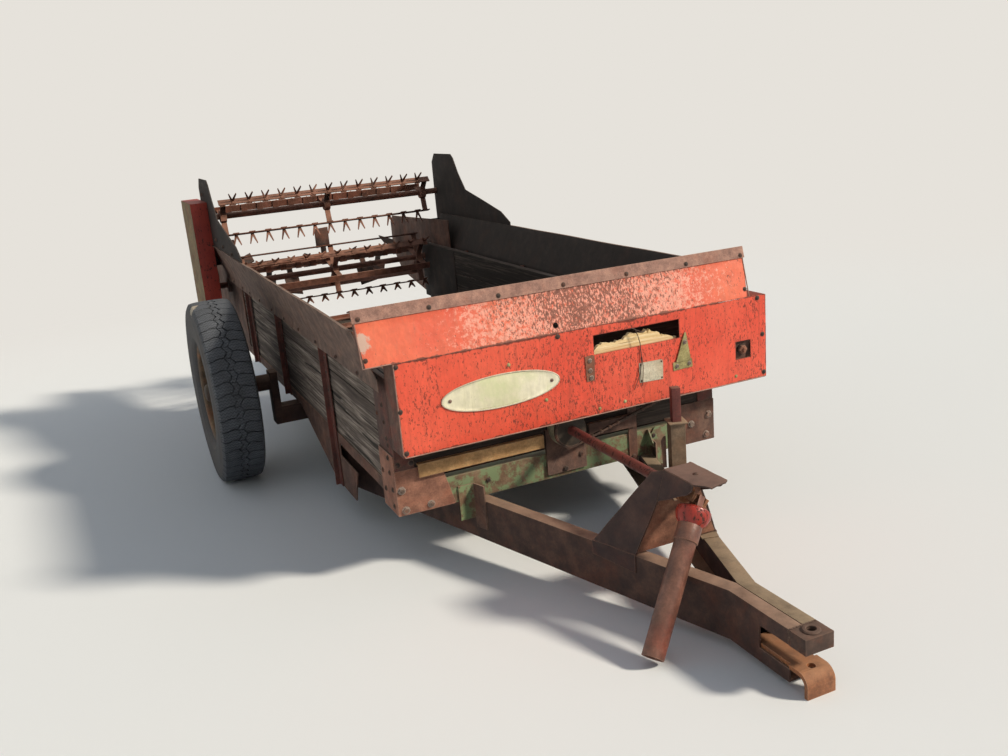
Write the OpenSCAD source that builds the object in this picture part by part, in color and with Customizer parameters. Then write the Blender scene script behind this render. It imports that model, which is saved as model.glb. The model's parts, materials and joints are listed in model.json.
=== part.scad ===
// Farm manure spreader, towed, with a chain floor, two beaters and a spreading rotor.
// All lengths are in millimetres. X runs across, +X to the right hand seen from the front.
// Y runs from the hitch to the rear. The box is drawn level, with z = 0 on top of the tongue.
// The whole machine is then leaned forward until the hitch jaw and both tyres meet the floor.

/* [Box] */
// Half the width of the box over its boards
box_half_w = 720; // [600:5:800]
// Length of the box boards
box_len = 3400; // [3100:10:3700]
// Height of one side board
board_h = 150; // [120:1:170]
// Thickness of the side boards
board_t = 38; // [25:1:45]
// Space between two boards
board_gap = 5; // [2:1:10]
// Number of boards in one side
board_n = 3; // [2:1:4]
// Underside of the floor boards
floor_z = 90; // [80:1:110]
// Thickness of the floor boards
floor_t = 30; // [20:1:35]
// Number of floor boards
floor_n = 9; // [6:1:12]

/* [Side frame] */
// Distance of the first stake from the front of the box
stake_y1 = 920; // [800:5:1000]
// Distance of the second stake from the front of the box
stake_y2 = 1875; // [1700:5:2000]
// Distance of the third stake ahead of the rear end of the box
stake_back = 645; // [550:5:800]
// Width of a stake against the boards
stake_w = 45; // [35:1:55]
// Depth of a stake out from the boards
stake_d = 33; // [25:1:40]
// Steel thickness of stakes, posts and rails
steel_t = 6; // [4:1:8]
// Height of the steel rail along the floor
rail_h = 50; // [40:1:60]
// Width of the corner post along the side
post_w = 170; // [120:5:200]
// Width of the corner post across the front
post_front = 70; // [55:1:80]
// Depth of the tongue beams
tongue_h = 170; // [150:2:190]
// Width of the tongue beam flanges
tongue_flange = 55; // [45:1:65]
// Steel thickness of the tongue beams
tongue_t = 8; // [6:1:10]
// Distance from the box front to where the tongue beams meet
tongue_meet = 1150; // [1050:5:1250]
// Half width of the tongue where the beams lie together
nose_half_w = 50; // [44:1:58]
// Distance behind the box front at which the tongue beams reach the sides
tongue_join = 970; // [900:5:1050]

/* [Hitch] */
// Distance of the hitch pin hole ahead of the box front
pin_y = 1458; // [1420:1:1500]
// Radius of the hitch pin hole
pin_r = 13; // [10:0.5:18]
// Depth of the upper jaw
jaw_up = 50; // [40:1:58]
// Depth from the top of the tongue to the top of the lower jaw
jaw_gap_z = 112; // [100:1:120]
// Distance of the front of the jaws ahead of the pin
jaw_front = 44; // [34:1:55]
// Plate thickness of the lower jaw
jaw_t = 14; // [10:1:18]
// Depth of the lowest point of the lower jaw
jaw_low = 186; // [180:1:195]
// Length of the mouth behind the pin
mouth_len = 168; // [140:2:200]
// Radius of the curled front of the lower jaw
jaw_curl = 40; // [30:1:50]

/* [Front panel] */
// Distance of the panel ahead of the box front
panel_y = 131; // [110:1:150]
// Left edge of the panel outside the boards
panel_l_out = 5; // [0:1:30]
// Right edge of the panel outside the boards
panel_r_out = 199; // [185:1:215]
// Bottom of the panel
panel_z0 = 275; // [260:1:300]
// Crease between the panel and its upper flare
panel_z1 = 632; // [600:1:660]
// Top of the upper flare
panel_z2 = 833; // [800:1:860]
// Sheet thickness of panel and flares
sheet_t = 3; // [2:0.5:5]
// How far the upper flare passes the side flares at its crease
flare_past = 1; // [0:1:12]
// Widening of the upper flare over its height, on each side
flare_spread = 18; // [6:1:26]
// Backward lean of the upper flare over its height
flare_back = 54; // [40:1:70]
// Height of the strip along the top of the flare
strip_h = 43; // [30:1:55]
// Slot in the panel: left end
slot_x0 = 90; // [60:1:120]
// Slot in the panel: right end
slot_x1 = 485; // [440:1:520]
// Slot in the panel: bottom
slot_z0 = 520; // [500:1:530]
// Slot in the panel: top
slot_z1 = 597; // [580:1:610]
// Side of the square opening for the side shaft
square_cut = 76; // [66:1:90]

/* [Side flares] */
// Height of the side flares above the boards
side_flare_h = 199; // [170:1:230]
// Outward lean of the side flares over their height
side_flare_out = 71; // [50:1:90]
// Top of the plates beside the beaters
plate_top = 1177; // [1100:1:1220]
// How far the plates beside the beaters pass the rear end of the box
plate_past = 80; // [60:5:140]
// Length of those plates along the side flares
plate_long = 1290; // [1200:5:1380]
// Lower end of those plates behind the side flares
plate_low = 600; // [570:5:640]
// Thickness of the rear arms
arm_t = 8; // [6:1:10]
// Height of the front end of the rear arms
arm_top = 740; // [720:5:748]
// How far the arms of the spreading rotor pass the rear end of the box
arm_past = 900; // [840:5:960]
// Height of the lower rear corner of those arms
arm_tip_z = 420; // [380:5:440]

/* [Wheels] */
// Distance of the axle behind the box front
axle_y = 1881.5; // [1800:0.5:2200]
// Height of the axle centre
axle_z = 135.2; // [110:0.1:160]
// Radius of the tyres
tyre_r = 486.4; // [460:0.1:500]
// Width of the tyres
tyre_w = 229; // [200:1:250]
// Radius of the rim at the tyre bead
rim_r = 254; // [240:1:270]
// Half the width between the rim flanges
rim_hw = 80; // [70:1:86]
// Distance of the middle of each tyre outside the boards
wheel_out = 352; // [330:1:375]
// Radius of the wheel spindles
spindle_r = 30; // [24:0.5:36]
// Width and height of the axle beam
axle_beam = 95; // [80:1:100]
// Distance of the axle end plates outside the boards
stub_out = 70; // [60:1:80]
// Thickness of the axle end plates
stub_t = 40; // [30:1:45]
// Length of the thick part of the spindles
spindle_collar = 60; // [40:1:70]
// Half the length of the axle seats along the box
seat_half = 120; // [90:5:150]

/* [Beaters] */
// Distance of both beaters behind the rear end of the box
beater_past = 40; // [30:1:56]
// Height of the upper beater
upper_z = 914; // [890:1:940]
// Height of the lower beater
lower_z = 455; // [440:1:470]
// Radius of the upper beater at its bars
upper_r = 130; // [110:1:145]
// Radius of the lower beater at its bars
lower_r = 168; // [150:1:175]
// Height of the teeth of the upper beater
upper_tooth = 75; // [60:1:80]
// Height of the teeth of the lower beater
lower_tooth = 45; // [35:1:50]
// Number of teeth on one bar
tooth_n = 13; // [9:1:15]
// Radius of the beater shafts
beater_shaft_r = 20; // [16:0.5:24]
// Space between the bars of the upper beater and the plates beside it
upper_clear = 84; // [70:1:120]
// Space between the bars of the lower beater and the boards
lower_clear = 26; // [22:1:34]
// Distance of the spreading rotor behind the rear end of the box
rotor_past = 590; // [565:1:615]
// Height of the spreading rotor
rotor_z = 450; // [430:1:470]
// Radius of the spreading rotor
rotor_r = 255; // [230:1:265]
// Number of paddles
paddle_n = 10; // [8:2:12]

/* [Chain floor] */
// Radius of the floor chain over its sprockets
apron_r = 50; // [46:1:54]
// Distance of the front floor shaft behind the box front
apron_front = 150; // [140:1:180]
// Distance of the rear floor shaft ahead of the rear end of the box
apron_back = 110; // [90:5:200]
// Distance of the floor chains from the middle
apron_x = 430; // [380:5:480]
// Number of slats on the upper run
slat_n = 11; // [8:1:14]
// Height of a slat
slat_h = 28; // [20:1:32]
// Space between the slats and the boards
slat_clear = 22; // [12:1:80]

/* [Drive] */
// Height of the input shaft
input_z = 212; // [200:1:225]
// Radius of the input shaft
input_r = 19; // [15:0.5:24]
// Distance of the universal joint ahead of the box front
joint_y = 925; // [900:1:950]
// Side shaft: distance outside the boards
side_shaft_out = 80; // [70:1:92]
// Side shaft: height
side_shaft_z = 413; // [400:1:430]
// Radius of the side shaft
side_shaft_r = 16; // [12:0.5:18]
// Length of the hanging drive tube from the universal joint
tube_len = 524; // [500:1:530]
// Radius of the hanging drive tube
tube_r = 36; // [30:0.5:38]
// Running gap between shafts and their bearings
run_gap = 0.3; // [0.2:0.05:0.6]

/* [Joint hood] */
// Height of the hood above the input shaft
hood_up = 83; // [76:1:95]
// Half the width of the hood on top
hood_half = 56; // [52:1:62]
// Length of the hood ahead of the universal joint
hood_ahead = 103; // [95:1:115]
// Length of the hood behind the universal joint
hood_behind = 108; // [100:1:118]
// Depth of the hood sides at the rear
hood_drop = 111; // [100:1:120]
// Outward lean of the hood sides in degrees
hood_lean = 18.3; // [12:0.1:22]
// Distance of the front of the braces behind the universal joint
brace_y0 = 132; // [126:1:140]
// Distance of the rear of the braces behind the universal joint
brace_y1 = 317; // [290:1:340]
// Depth of the braces down the tongue beams
brace_drop = 61; // [50:1:75]

/* [Beater chain guard] */
// Depth of the chain guard out from the beater plate
guard_d = 106; // [96:1:116]
// Length of the chain guard ahead of the beaters
guard_ahead = 240; // [220:5:260]
// Length of the chain guard behind the beaters
guard_behind = 220; // [200:5:240]
// Height of the bottom of the chain guard
guard_low = 330; // [320:1:345]
// Height of the top of the chain guard
guard_top = 1033; // [1010:1:1060]

/* [Front fittings] */
// Width of the corner gussets at their foot
gusset_foot = 225; // [200:5:250]
// Width of the corner gussets at their top
gusset_top = 175; // [150:5:200]
// Height of the corner gussets
gusset_h = 183; // [170:1:195]
// Distance of the front strap from the middle
strap_x = 300; // [280:5:330]
// Width of the front strap
strap_w = 40; // [30:1:50]
// Width of the clips between the tongue and the front channel
clip_w = 67; // [55:1:75]
// Height of those clips above the tongue
clip_up = 64; // [55:1:75]
// Depth of those clips down the tongue
clip_down = 120; // [90:5:140]

/* [Parking stand] */
// Distance of the stand ahead of the box front
stand_y = 200; // [150:5:260]
// Width of the stand tube
stand_w = 60; // [50:1:70]
// Top of the stand tube
stand_top = 207; // [180:1:230]
// Bottom of the stand tube
stand_low = -120; // [-140:1:-100]
// Top of the stand leg
leg_top = 347; // [320:1:370]
// Bottom of the stand leg
leg_low = -205; // [-210:1:-190]
// Width of the stand leg
leg_w = 36; // [30:1:40]
// Half the width of the foot of the stand leg
foot_half = 55; // [45:1:65]

/* [Hidden] */
$fn = 48;
boards_top = floor_z + 2 + board_n * board_h + (board_n - 1) * board_gap;
board_z0 = floor_z + 2;
floor_top = floor_z + floor_t;
inner_half = box_half_w - board_t;
panel_l = box_half_w + panel_l_out;
panel_r = box_half_w + panel_r_out;
stake_y3 = box_len - stake_back;
plate_rear = box_len + plate_past;
arm_rear = box_len + arm_past;
beater_y = box_len + beater_past;
rotor_y = box_len + rotor_past;
apron_rear = box_len - apron_back;
wheel_x = box_half_w + wheel_out;
side_shaft_x = box_half_w + side_shaft_out;
slat_half = inner_half - slat_clear;
lower_half = inner_half - lower_clear;
tooth_inset = 8;
tooth_pitch = 2 * (lower_half - tooth_inset) / (tooth_n - 1);
stake_ys = [stake_y1, stake_y2, stake_y3];
tongue_slope = (box_half_w - nose_half_w) / (tongue_join + tongue_meet);
tongue_ang = atan(tongue_slope);
side_x = box_half_w + stake_d;
flare_top_z = boards_top + side_flare_h;
flare_top_x = side_x + side_flare_out;
flare_w0 = flare_top_x + flare_past;
flare_w1 = flare_w0 + flare_spread;
upper_half = flare_top_x - upper_clear;
jaw_y = pin_y + jaw_front;
chain_t = 12;
chain_wall = 8;
apron_z = floor_top + chain_t / 2 + run_gap - apron_r;
sill_z = board_z0 + 8 - rail_h + steel_t;
chain_r_in = 74;
chain_r_side = 60;
tube_dir = [-0.5795, -0.3373, -0.7415];
hinge_dir = [-0.788, 0, 0.616];
reach = sqrt(pow(axle_y + jaw_y, 2) + pow(axle_z + jaw_low, 2));
lean = asin(tyre_r / reach) - atan2(axle_z + jaw_low, axle_y + jaw_y);
lift = tyre_r - sin(lean) * axle_y - cos(lean) * axle_z;
front_end = (jaw_curl - jaw_y) * cos(lean) + (jaw_gap_z + jaw_curl) * sin(lean) - jaw_curl;
rear_end = arm_rear * cos(lean) - arm_tip_z * sin(lean);
mid_shift = -(front_end + rear_end) / 2;
// Colours
rust = [0.36, 0.22, 0.17];
maroon = [0.33, 0.12, 0.10];
red = [0.86, 0.26, 0.17];
green = [0.45, 0.58, 0.42];
wood = [0.52, 0.49, 0.45];
tan_steel = [0.55, 0.43, 0.30];
dark = [0.20, 0.17, 0.16];
tyre_col = [0.22, 0.24, 0.28];

// Helpers
module parked() {
    translate([0, mid_shift, lift]) rotate([lean, 0, 0]) children();
}

module side_plate(x, t) {
    translate([x, 0, 0]) rotate([90, 0, 90]) linear_extrude(t) children();
}

module front_plate(y, t) {
    translate([0, y + t, 0]) rotate([90, 0, 0]) linear_extrude(t) children();
}

module rod_x(x0, x1, y, z, r) {
    translate([x0, y, z]) rotate([0, 90, 0]) cylinder(r = r, h = x1 - x0);
}

module rod_y(y0, y1, x, z, r) {
    translate([x, y0, z]) rotate([-90, 0, 0]) cylinder(r = r, h = y1 - y0);
}

module block(x0, x1, y0, y1, z0, z1) {
    translate([x0, y0, z0]) cube([x1 - x0, y1 - y0, z1 - z0]);
}

// Tongue
module tongue_beam() {
    fw = tongue_flange / cos(tongue_ang);
    wt = tongue_t / cos(tongue_ang);
    sx = box_half_w;
    y_end = -(pin_y - 34);
    y_in = -tongue_meet + (fw + 1 - nose_half_w) / tongue_slope;
    flange = [[-nose_half_w, y_end], [-nose_half_w, -tongue_meet], [-sx, tongue_join],
        [-(sx - fw), tongue_join], [-1, y_in], [-1, y_end]];
    web = [[-nose_half_w, y_end], [-nose_half_w, -tongue_meet], [-sx, tongue_join],
        [-(sx - wt), tongue_join], [-(nose_half_w - tongue_t), -tongue_meet],
        [-(nose_half_w - tongue_t), y_end]];
    difference() {
        union() {
            translate([0, 0, -tongue_t]) linear_extrude(tongue_t) polygon(flange);
            translate([0, 0, -tongue_h]) linear_extrude(tongue_t) polygon(flange);
            translate([0, 0, -tongue_h]) linear_extrude(tongue_h) polygon(web);
        }
        block(-nose_half_w - 5, 5, y_end - 5, -(pin_y - mouth_len), -jaw_gap_z - jaw_t, -jaw_up);
    }
}

module tongue_left() {
    color(rust) tongue_beam();
}

module tongue_right() {
    color(tan_steel) mirror([1, 0, 0]) tongue_beam();
}

module hitch_head() {
    y0 = -jaw_y;
    y1 = -(pin_y - 34);
    curl = jaw_curl;
    color(rust) difference() {
        union() {
            block(-nose_half_w, nose_half_w, y0 + 8, y1, -jaw_up, 0);
            block(-nose_half_w + tongue_t, nose_half_w - tongue_t, y1, y1 + 60, -jaw_up, -tongue_t);
            difference() {
                rod_x(-nose_half_w, nose_half_w, y0 + curl, -jaw_gap_z - curl, curl);
                rod_x(-nose_half_w - 1, nose_half_w + 1, y0 + curl, -jaw_gap_z - curl, curl - jaw_t);
                block(-nose_half_w - 1, nose_half_w + 1, y0 + curl + 1, y0 + 3 * curl,
                    -jaw_gap_z - 3 * curl, 0);
                block(-nose_half_w - 1, nose_half_w + 1, y0 - 1, y0 + 3 * curl,
                    -jaw_gap_z - 3 * curl, -jaw_gap_z - curl - 1);
            }
            block(-nose_half_w, nose_half_w, y0, y0 + jaw_t, -jaw_low, -jaw_gap_z - curl);
            block(-nose_half_w, nose_half_w, y0 + curl, y1, -jaw_gap_z - jaw_t, -jaw_gap_z);
            block(-nose_half_w + tongue_t, nose_half_w - tongue_t, y1 - 1,
                -(pin_y - mouth_len) + 40, -jaw_gap_z - jaw_t, -jaw_gap_z);
        }
        translate([0, -pin_y, -jaw_gap_z - jaw_t - 1]) cylinder(r = pin_r, h = jaw_gap_z + jaw_t + 2);
    }
}

// Front of the frame
module front_channel() {
    h = 110;
    w = 50;
    color(green) difference() {
        block(-inner_half + run_gap, inner_half - run_gap, 0, w, 0, h);
        block(-box_half_w - 1, box_half_w + 1, steel_t, w + 1, steel_t, h - steel_t);
    }
}

module gusset() {
    h = gusset_h;
    x0 = -box_half_w - 2 * steel_t;
    color(rust) union() {
        front_plate(-steel_t, steel_t) polygon([[x0, 0], [-box_half_w + gusset_foot, 0],
            [-box_half_w + gusset_top, h], [x0, h]]);
        block(x0, x0 + steel_t, 0, post_w, 0, h + 60);
    }
}

module corner_gusset_left() {
    gusset();
}

module corner_gusset_right() {
    mirror([1, 0, 0]) gusset();
}

module rail() {
    x0 = -box_half_w - steel_t;
    z0 = board_z0 + 8 - rail_h;
    color(rust) union() {
        block(x0, x0 + steel_t, post_w + 4, box_len, z0, z0 + rail_h);
        block(x0, x0 + 55, post_w + 4, box_len, z0, z0 + steel_t);
        side_plate(x0, steel_t)
            polygon([[stake_y1 - 330, -12], [stake_y1 - 250, -tongue_h], [stake_y1 + 90, -tongue_h],
                [stake_y1 + 680, z0 - 6], [stake_y1 + 700, z0 + 2], [stake_y1 - 60, z0 + 2],
                [stake_y1 - 60, -12]]);
    }
}

module side_rail_left() {
    rail();
}

module side_rail_right() {
    mirror([1, 0, 0]) rail();
}

module boards() {
    color(wood) for (i = [0 : board_n - 1])
        block(-box_half_w, -inner_half, 0, box_len, board_z0 + i * (board_h + board_gap),
            board_z0 + i * (board_h + board_gap) + board_h);
}

module side_boards_left() {
    boards();
}

module side_boards_right() {
    mirror([1, 0, 0]) boards();
}

module stake(y, z0, x_in) {
    translate([0, 0, z0]) linear_extrude(boards_top - z0)
        polygon([[-x_in, y - stake_w], [-x_in, y], [-side_x, y], [-side_x, y - steel_t],
            [-x_in - steel_t, y - steel_t], [-x_in - steel_t, y - stake_w]]);
}

module stakes() {
    x_in = box_half_w + steel_t;
    color(maroon) {
        stake(stake_y1, -tongue_h + 2, x_in);
        for (y = [stake_y2, stake_y3]) stake(y, floor_z - 40, x_in);
        block(-x_in, -box_half_w, 0, post_w, 0, boards_top);
        block(-x_in, -box_half_w + post_front, -steel_t, 0, gusset_h + 1, boards_top);
    }
}

module side_stakes_left() {
    stakes();
}

module side_stakes_right() {
    mirror([1, 0, 0]) stakes();
}

module side_flare() {
    lip = 45;
    color(rust) front_plate(-4, box_len + 4)
        polygon([[-side_x - sheet_t, boards_top - lip], [-side_x - sheet_t, boards_top],
            [-flare_top_x - sheet_t, flare_top_z], [-flare_top_x - 12, flare_top_z],
            [-flare_top_x - 12, flare_top_z + sheet_t], [-flare_top_x, flare_top_z + sheet_t],
            [-side_x, boards_top], [-side_x, boards_top - lip]]);
}

module side_flare_left() {
    side_flare();
}

module side_flare_right() {
    mirror([1, 0, 0]) side_flare();
}

module front_wall() {
    color(wood) difference() {
        for (i = [0 : board_n - 1])
            block(-inner_half + run_gap, inner_half - run_gap, 0, board_t, board_z0 + 44 + i * (board_h + board_gap),
                board_z0 + 44 + i * (board_h + board_gap) + board_h);
        block(slot_x0 + 40, slot_x1 - 60, -1, board_t + 1, slot_z0 + 40, 900);
    }
}

module front_panel() {
    color(red) difference() {
        union() {
            front_plate(-panel_y, sheet_t) polygon([[-panel_l, panel_z0], [panel_r, panel_z0],
                [panel_r, panel_z1], [-panel_l, panel_z1]]);
            block(-panel_l, -panel_l + sheet_t, -panel_y, -steel_t - run_gap, panel_z0, panel_z1);
            block(panel_r - sheet_t, panel_r, -panel_y, -steel_t - run_gap, panel_z0, panel_z1);
            block(-panel_l, panel_r, -panel_y, -panel_y + 25, panel_z0, panel_z0 + sheet_t);
            block(flare_w0, panel_r, -panel_y, -steel_t - run_gap, panel_z1 - sheet_t, panel_z1);
        }
        block(slot_x0, slot_x1, -panel_y - 1, -panel_y + sheet_t + 1, slot_z0, slot_z1);
        block(side_shaft_x - square_cut / 2, side_shaft_x + square_cut / 2, -panel_y - 1,
            -panel_y + sheet_t + 1, side_shaft_z - square_cut / 2, side_shaft_z + square_cut / 2);
    }
}

module front_flare() {
    rise = panel_z2 - panel_z1;
    tilt = atan2(flare_back, rise);
    long = rise / cos(tilt);
    color(red) difference() {
        translate([0, -panel_y, panel_z1 + sheet_t * sin(tilt) + run_gap]) rotate([-tilt, 0, 0]) union() {
            front_plate(0, sheet_t) polygon([[-flare_w0, 0], [flare_w0, 0], [flare_w1, long],
                [-flare_w1, long]]);
            for (s = [-1, 1])
                block(s > 0 ? flare_w0 - sheet_t : -flare_w0, s > 0 ? flare_w0 : -flare_w0 + sheet_t,
                    sheet_t, 70, 0, long - strip_h);
            front_plate(-5, 5) polygon([[-flare_w1, long - strip_h], [flare_w1, long - strip_h],
                [flare_w1, long], [-flare_w1, long]]);
            block(-flare_w1, flare_w1, -5, 38, long, long + 5);
        }
        translate([-65, -panel_y - 20, panel_z1 + 30]) rotate([-90, 0, 0]) cylinder(r = 11, h = 60);
    }
}

// Floor
module floor_boards() {
    w = 2 * inner_half / floor_n;
    color(wood) for (i = [0 : floor_n - 1])
        block(-inner_half + i * w + 1.5, -inner_half + (i + 1) * w - 1.5, apron_front + 62,
            apron_rear - 62, floor_z, floor_top);
}

module floor_sills() {
    z0 = sill_z;
    w = 70;
    color(rust) for (y = [330, stake_y1 + 20, stake_y2 - 100, stake_y2 + 100, stake_y3, apron_rear - 130])
        difference() {
            block(-box_half_w + 1, box_half_w - 1, y - w / 2, y + w / 2, z0, floor_z);
            block(-box_half_w, box_half_w, y - w / 2 + 5, y + w / 2 - 5, z0 - 1, floor_z - 5);
        }
    color(rust) side_plate(-box_half_w + run_gap, 2 * (box_half_w - run_gap))
        polygon([[box_len, 60], [box_len + 6, 60], [box_len + 6, 104], [box_len + 46, 104],
            [box_len + 46, 110], [box_len, 110]]);
}

module axle() {
    b = axle_beam / 2;
    z_top = -5;
    stub_x = box_half_w + stub_out;
    end_x = stub_x + stub_t;
    collar_x = stub_x + stub_t + 30 + spindle_collar;
    color(rust) union() {
        block(-end_x, end_x, axle_y - b, axle_y + b, z_top - axle_beam, z_top);
        for (s = [-1, 1]) {
            block(s > 0 ? stub_x : -end_x, s > 0 ? end_x : -stub_x, axle_y - b, axle_y + b,
                z_top - 1, axle_z + 58);
            rod_x(s > 0 ? end_x - 1 : -wheel_x - 48, s > 0 ? wheel_x + 48 : -end_x + 1, axle_y,
                axle_z, spindle_r);
            rod_x(s > 0 ? end_x - 1 : -collar_x, s > 0 ? collar_x : -end_x + 1, axle_y,
                axle_z, spindle_r + 14);
            block(s > 0 ? box_half_w - 80 : -box_half_w + 70, s > 0 ? box_half_w - 70 : -box_half_w + 80,
                axle_y - seat_half, axle_y + seat_half, z_top - 60, sill_z);
        }
    }
}

// Rear
module beater_plate() {
    x = -flare_top_x;
    yr = plate_rear;
    l = plate_long;
    zt = plate_top;
    zf = flare_top_z + sheet_t;
    up = plate_top - flare_top_z;
    color(dark) union() {
        side_plate(x - 6, 6) difference() {
            polygon([[yr - l, zf], [yr - l, zf + 0.047 * up], [yr - 0.902 * l, zt - 0.81 * up],
                [yr - 0.467 * l, zt - 0.547 * up], [yr - 0.381 * l, zt - 0.293 * up],
                [yr - 0.326 * l, zt - 0.061 * up], [yr - 0.295 * l, zt], [yr - 0.14 * up, zt],
                [yr, zt - 0.14 * up], [yr, plate_low], [box_len + run_gap, plate_low],
                [box_len + run_gap, zf]]);
            translate([beater_y, upper_z]) circle(r = beater_shaft_r + run_gap);
        }
        block(x - 1, -box_half_w - arm_t, box_len + run_gap, box_len + 6, plate_low, arm_top - 20);
        side_plate(-inner_half + run_gap, sheet_t) difference() {
            polygon([[yr - l / 2, floor_top + 40], [yr, floor_top + 40],
                [yr, boards_top], [yr - l / 2, boards_top]]);
            translate([beater_y, lower_z]) circle(r = beater_shaft_r + 6);
        }
    }
}

module beater_plate_left() {
    beater_plate();
}

module beater_plate_right() {
    mirror([1, 0, 0]) beater_plate();
}

module rear_arm() {
    x = -box_half_w - arm_t;
    color(rust) difference() {
        union() {
            side_plate(x, arm_t) polygon([[box_len - 400, 104], [box_len + 10, 104],
                [plate_rear, 150], [arm_rear - 180, 260], [arm_rear, arm_tip_z], [arm_rear, 640],
                [arm_rear - 60, 690], [box_len - 400, arm_top]]);
            for (c = [[beater_y, lower_z, 52], [rotor_y, rotor_z, 46]])
                rod_x(x - 22, x + 1, c[0], c[1], c[2]);
        }
        for (c = [[beater_y, lower_z], [rotor_y, rotor_z]])
            rod_x(x - 30, x + 30, c[0], c[1], beater_shaft_r + run_gap);
    }
}

module rear_arm_left() {
    rear_arm();
}

module rear_arm_right() {
    mirror([1, 0, 0]) rear_arm();
}

module chain_guard() {
    x1 = -flare_top_x - 6 - run_gap;
    x0 = x1 - guard_d;
    y0 = beater_y - guard_ahead;
    y1 = beater_y + guard_behind;
    color(red) difference() {
        block(x0, x1, y0, y1, guard_low, guard_top);
        block(x0 + sheet_t, x1 + 1, y0 + sheet_t, y1 - sheet_t, guard_low + sheet_t, guard_top - sheet_t);
        block(x1 - 8, x1 + 1, y0 - 1, y0 + sheet_t + 1, flare_top_z - 4, flare_top_z + 8);
    }
}

// Chain floor
module floor_chain() {
    color(rust) for (s = [-1, 1]) union() {
        for (z = [-apron_r - 6, apron_r - 6])
            block(s * apron_x - 14, s * apron_x + 14, apron_front - 2, apron_rear + 2,
                apron_z + z, apron_z + z + chain_t);
        for (end = [[apron_front, 2, 80], [apron_rear, -80, -2]]) difference() {
            rod_x(s * apron_x - 14, s * apron_x + 14, end[0], apron_z, apron_r + 6);
            rod_x(s * apron_x - 15, s * apron_x + 15, end[0], apron_z, apron_r - 6);
            block(s * apron_x - 15, s * apron_x + 15, end[0] + end[1], end[0] + end[2],
                apron_z - 80, apron_z + 80);
        }
    }
}

module floor_slats() {
    slat_t = 5;
    w = 40;
    y_step = (apron_rear - apron_front - 120) / (slat_n - 1);
    color(rust) for (i = [0 : slat_n - 1]) {
        y = apron_front + 60 + i * y_step;
        translate([-slat_half, y, apron_z + apron_r + 6]) rotate([90, 0, 90])
            linear_extrude(2 * slat_half) polygon([[-w / 2, 0], [w / 2, 0], [w / 2, slat_h],
                [w / 2 - slat_t, slat_h], [w / 2 - slat_t, slat_t], [-w / 2, slat_t]]);
        if (i < slat_n - 1)
            translate([-slat_half + 110, y + y_step / 2, apron_z - apron_r - 6]) rotate([90, 0, 90])
                linear_extrude(2 * slat_half - 220) polygon([[-w / 2, 0], [w / 2, 0],
                    [w / 2, -slat_t], [-w / 2 + slat_t, -slat_t], [-w / 2 + slat_t, -20],
                    [-w / 2, -20]]);
    }
}

module floor_shafts() {
    color(dark) for (y = [apron_front, apron_rear]) union() {
        rod_x(-box_half_w + run_gap, box_half_w - run_gap, y, apron_z, 15);
        for (s = [-1, 1])
            rod_x(s * apron_x - 10, s * apron_x + 10, y, apron_z, apron_r - 6 - run_gap);
    }
}

// Drive
module hood_side() {
    // One sloping side of the hood and the brace that carries it from the tongue beam
    t = 5;
    y0 = -joint_y - hood_ahead;
    y1 = -joint_y + hood_behind;
    z1 = input_z + hood_up;
    dx = nose_half_w - hood_half;
    dy = tongue_meet + y1;
    along = dy * cos(tongue_ang) - dx * sin(tongue_ang);
    inward = dx * cos(tongue_ang) + dy * sin(tongue_ang);
    tip = atan2(inward, z1);
    high = sqrt(inward * inward + z1 * z1);
    s0 = (tongue_meet - joint_y + brace_y0) / cos(tongue_ang);
    s1 = (tongue_meet - joint_y + brace_y1) / cos(tongue_ang);
    translate([-hood_half, 0, z1]) rotate([0, hood_lean, 0]) side_plate(0, t)
        polygon([[y0 + 44, -1], [y1 - 2, -1], [y1 - 2, -hood_drop], [y1 - 66, -0.75 * hood_drop],
            [y1 - 102, -0.56 * hood_drop], [y1 - 147, -0.38 * hood_drop],
            [y0 + 44, -0.22 * hood_drop]]);
    translate([-nose_half_w, -tongue_meet, 0]) rotate([0, 0, tongue_ang]) union() {
        side_plate(-t, t) polygon([[s0, -brace_drop], [s1, -0.74 * brace_drop], [s1, 6], [s0, 6]]);
        rotate([0, tip, 0]) side_plate(2 - t, t) polygon([[s0 + 1, 2], [s1 - 1, 2],
            [s0 - 12, 0.94 * high], [along - 8, high - 3], [along + 3, 0.63 * high]]);
    }
}

module shaft_hood() {
    y0 = -joint_y - hood_ahead;
    y1 = -joint_y + hood_behind;
    z1 = input_z + hood_up;
    w = hood_half - 2;
    color(rust) union() {
        translate([0, 0, z1 - 5]) linear_extrude(5) polygon([[-w, y1], [-w, y0 + 41],
            [-w + 24, y0 + 11], [-w + 31, y0 - 11], [8, y0], [w - 15, y0 + 3], [w, y0 + 15], [w, y1]]);
        hood_side();
        mirror([1, 0, 0]) hood_side();
    }
}

module stand_tube() {
    x_out = nose_half_w + (tongue_meet - stand_y) * tongue_slope;
    w = stand_w;
    color(tan_steel) translate([x_out, -stand_y, 0]) rotate([0, 0, -tongue_ang]) difference() {
        union() {
            block(20, 20 + w, -w / 2, w / 2, stand_low, stand_top);
            block(12, 28 + w, -w / 2 - 12, w / 2 + 12, stand_top - 6, stand_top);
            for (z = [-110, -45]) block(0, 20, -w / 2, w / 2, z, z + 40);
        }
        block(20 + (w - leg_w) / 2 - 1, 20 + (w + leg_w) / 2 + 1, -leg_w / 2 - 1, leg_w / 2 + 1,
            stand_low - 1, stand_top + 1);
    }
}

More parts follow.
